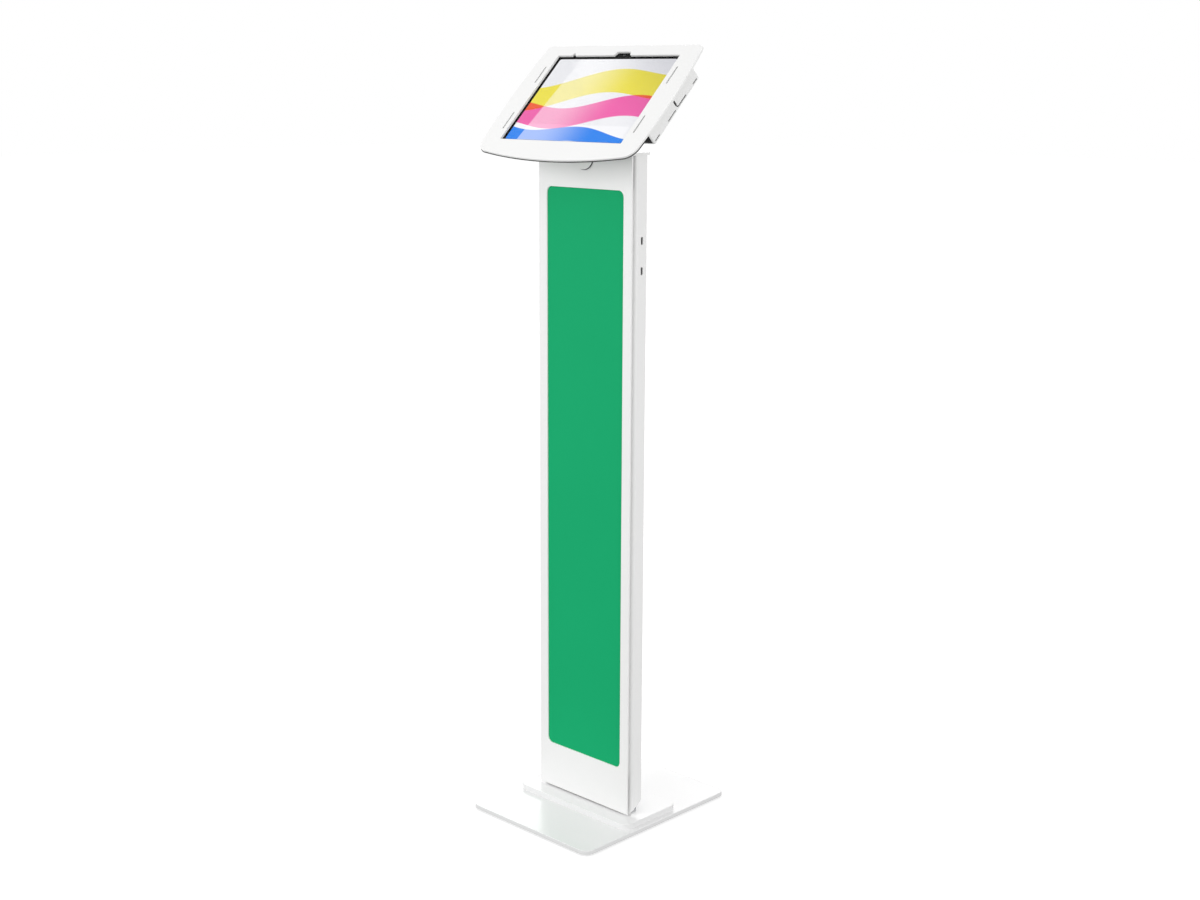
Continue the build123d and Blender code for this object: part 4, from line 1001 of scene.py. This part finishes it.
# %% Welds of the neck bracket
bracket_plate = 4 * mm
bead_radius = 1.5 * mm
slab_rear = level("wave_washer", out_of_screen, 1)
flange_top = span("top_cap", upward)[1] + bracket_plate
gusset_inside = span("neck_bracket", across)[1] - bracket_plate
slab_stitches = ((-43 * mm, -21 * mm), (6 * mm, 30 * mm))
flange_stitch = (-26 * mm, -6 * mm)
beads = bmesh.new()
for side in (-1, 1):
    x = side * gusset_inside
    for low_end, high_end in slab_stitches:
        start, end = head_point(x, low_end, slab_rear), head_point(x, high_end, slab_rear)
        join(beads, *weld_bead(start, end, bead_radius))
    start, end = Vector((x, flange_stitch[0], flange_top)), Vector((x, flange_stitch[1], flange_top))
    join(beads, *weld_bead(start, end, bead_radius))
link_mesh("bracket_welds", beads, white_coat, "stand")

# %% Welds of the hinge lugs
lug_bead_radius = 0.9 * mm
lug_bead_lead = 1.5 * mm
lug_beads = bmesh.new()
for points in solids_of("tray_hinge_lugs"):
    low, high = corners_along(points, head_axes, head_origin)
    start = head_point(low.x + lug_bead_lead, low.y, low.z)
    end = head_point(high.x - lug_bead_lead, low.y, low.z)
    join(lug_beads, *weld_bead(start, end, lug_bead_radius))
link_mesh("lug_welds", lug_beads, white_coat, "housing")

# %% [markdown]
# The bracket's tongue hangs over the top of the front panel and ends in a half disc. From the front
# a dark crescent shows round the disc's edge, which is shade on the disc's lower side. A black
# rubber cord round the disc stands in for it: a painted shade. A curve with a bevel would do, and a
# circle spun half a turn about the disc's middle has cleaner faces.

# %% Painted shade round the tongue
tongue_half_width = 17.5 * mm
edge_cord_radius = 0.9 * mm
edge_cord_sides = 10
edge_cord_steps = 32
panel_face = span("front_panel", backward)[0]
tongue_bottom = span("neck_bracket", upward)[0]
cord_middle = Vector((0, panel_face - edge_cord_radius, tongue_bottom + tongue_half_width))
cord = bmesh.new()
bmesh.ops.create_circle(cord, cap_ends=True, segments=edge_cord_sides, radius=edge_cord_radius)
bmesh.ops.translate(cord, vec=(tongue_half_width, 0, 0), verts=cord.verts)
bmesh.ops.spin(
    cord, geom=cord.verts[:] + cord.edges[:] + cord.faces[:], cent=(0, 0, 0), axis=(0, 1, 0),
    dvec=(0, 0, 0), angle=pi, steps=edge_cord_steps, use_merge=False, use_duplicate=False
)
bmesh.ops.recalc_face_normals(cord, faces=cord.faces)
# The cord is a painted shade along the lower edge of the tongue's disc.
link_mesh("tongue_shade_cord", cord, rubber, "stand", Matrix.Translation(cord_middle))

# %% [markdown]
# From the side a thin dark line shows under the frame, the shade under its lower edge. A black
# rubber cord behind the lower edge stands in for it: a painted shade. The frame's outline bulges
# everywhere, so the hull of its back face is that outline. A curve with a round bevel is the
# quickest way to lay a cord along such a path, and it is then made a mesh.

# %% Painted shade under the frame
shade_cord_radius = 0.8 * mm
shade_cord_ends = -62 * mm            # how high the cord goes up the two sides
shade_cord_bevel_steps = 3
flat_tolerance = 0.1 * mm
back_level = level("front_frame", out_of_screen, 0)
back_face = []
for vertex in nodes["front_frame"].data.vertices:
    place = vertex.co - head_origin
    if abs(out_of_screen.dot(place) - back_level) < flat_tolerance:
        back_face.append(Vector((across.dot(place), up_screen.dot(place))))
outline = [back_face[number] for number in convex_hull_2d(back_face)]
low_edge = [spot for spot in outline if spot.y < shade_cord_ends]
low_edge.sort(key=lambda spot: atan2(spot.x, -spot.y))
shade_cord_curve = bpy.data.curves.new("frame_shade_cord", "CURVE")
shade_cord_curve.dimensions = "3D"
shade_cord_curve.bevel_depth = shade_cord_radius
shade_cord_curve.bevel_resolution = shade_cord_bevel_steps
shade_cord_curve.use_fill_caps = True
path = shade_cord_curve.splines.new("POLY")
path.points.add(len(low_edge) - 1)
for point, spot in zip(path.points, low_edge):
    point.co = (spot.x, spot.y, 0, 1)
carrier = bpy.data.objects.new("carrier", shade_cord_curve)
shade_cord = bmesh.new()
shade_cord.from_mesh(carrier.to_mesh())
carrier.to_mesh_clear()
bpy.data.objects.remove(carrier)
shade_cord_place = head_matrix(0, 0, back_level - shade_cord_radius)
# The cord is a painted shade along the frame's lower edge.
link_mesh("frame_shade_cord", shade_cord, rubber, "lid", shade_cord_place)

# %% [markdown]
# The four slots in the frame look black, from the shade inside them. Behind each of them a strip of
# black felt stands in for that shade: a painted shade. A strip could be one flat face, but a thin
# block with rounded edges is closed and keeps a thickness. It lies in the gap between the frame
# and the tray.

# %% Painted shade behind the slots
shade_strip_width = 6 * mm
shade_strip_length = 38 * mm
shade_strip_thickness = 0.14 * mm
shade_strip_gap = 0.02 * mm
shade_strip_round = 0.03 * mm
slot_across = 125 * mm
slot_heights = (43 * mm, -45.5 * mm)
shade_strips = bmesh.new()
for side in (-1, 1):
    for height in slot_heights:
        reach = Vector((shade_strip_width, shade_strip_length, shade_strip_thickness)) / 2
        strip = rounded_block(-reach, reach, shade_strip_round, segments=1)
        place = head_matrix(side * slot_across, height, back_level - shade_strip_gap - shade_strip_thickness / 2)
        join(shade_strips, strip, place)
# The dark strips are a painted shade inside the slots.
link_mesh("slot_shade_strips", shade_strips, foam, "lid")

# %% [markdown]
# The studio: a pale floor, a white world and three large soft lamps. The camera, mirrors and glass
# see the floor and the world as plain white, through the Light Path node, so the background needs
# no extra light. To all other rays the floor is a light grey, which keeps the undersides of the
# head and the cap from washing out.

# %% Floor
floor_half = 20.0
floor_glow = 0.65               # with the pale grey's own light this comes to white
floor = bmesh.new()
bmesh.ops.create_grid(floor, x_segments=1, y_segments=1, size=floor_half)
floor_mesh = bpy.data.meshes.new("floor")
floor.to_mesh(floor_mesh)
floor.free()
floor_piece = bpy.data.objects.new("floor", floor_mesh)
bpy.context.collection.objects.link(floor_piece)


def seen_directly(tree):
    """1 for rays of the camera, of a mirror or through glass, 0 for the light that surfaces scatter."""
    path = add_node(tree, "LightPath")
    mirrored = add_node(tree, "Math", {
        0: path.outputs["Is Camera Ray"], 1: path.outputs["Is Glossy Ray"]
    }, operation="MAXIMUM")
    through = add_node(tree, "Math", {
        0: mirrored.outputs[0], 1: path.outputs["Is Transmission Ray"]
    }, operation="MAXIMUM")
    return through.outputs[0]


def studio_floor(tree):
    """A light grey floor that is seen as white."""
    grey = add_node(tree, "BsdfDiffuse", {"Color": linear("#a0a0a0")})
    pale = add_node(tree, "BsdfDiffuse", {"Color": linear("#bcbcbc")})
    glow = add_node(tree, "Emission", {"Color": linear("#ffffff"), "Strength": floor_glow})
    lifted = add_node(tree, "AddShader", {0: pale.outputs[0], 1: glow.outputs[0]})
    return add_node(
        tree, "MixShader", {0: seen_directly(tree), 1: grey.outputs[0], 2: lifted.outputs[0]}
    )


floor_mesh.materials.append(new_material("studio_floor", studio_floor))
print("floor:", 2 * floor_half, "m wide")

# %% World
room_light = 0.75
world = bpy.data.worlds.new("studio")
bpy.context.scene.world = world
world.use_nodes = True
sky = world.node_tree
sky.nodes.clear()
room = add_node(sky, "Background", {"Color": linear("#ffffff"), "Strength": room_light})
backdrop = add_node(sky, "Background", {"Color": linear("#ffffff"), "Strength": 1.0})
either = add_node(sky, "MixShader", {0: seen_directly(sky), 1: room.outputs[0], 2: backdrop.outputs[0]})
add_node(sky, "OutputWorld", {"Surface": either.outputs[0]})
print("world:", world.name)

# %% [markdown]
# The lamps. The key lamp stands at the front left, only a little above the head, so the head throws
# a short soft shadow on the top of the panel. A fill lamp on the right lights the side of the
# column. A wide lamp behind the stand, across from the camera, is what the glossy base mirrors: the
# panel blocks it, and stands in the base as a grey shape.

# %% Lamps


def soft_lamp(name, place, target, width, height, radiance):
    """A rectangular lamp at a place, aimed at a target. The radiance is how bright its face is."""
    data = bpy.data.lights.new(name, "AREA")
    data.shape = "RECTANGLE"
    data.size = width
    data.size_y = height
    data.energy = radiance * pi * width * height
    lamp = bpy.data.objects.new(name, data)
    aim = Vector(target) - Vector(place)
    lamp.matrix_world = Matrix.Translation(place) @ aim.to_track_quat("-Z", "Y").to_matrix().to_4x4()
    lamp.visible_camera = False
    bpy.context.collection.objects.link(lamp)


soft_lamp("key_lamp", (-1.6, -3.0, 1.5), target=(0, 0, 0.7), width=1.6, height=1.8, radiance=5.4)
soft_lamp("fill_lamp", (3.2, -0.7, 1.4), target=(0, 0, 0.5), width=1.6, height=2.0, radiance=3.7)
soft_lamp("back_lamp", (-2.9, 3.0, 2.3), target=(0, 0, 0.1), width=3.2, height=1.6, radiance=2.4)
bpy.context.scene.view_settings.view_transform = "Standard"
print("lamps:", [lamp.name for lamp in bpy.data.lights])
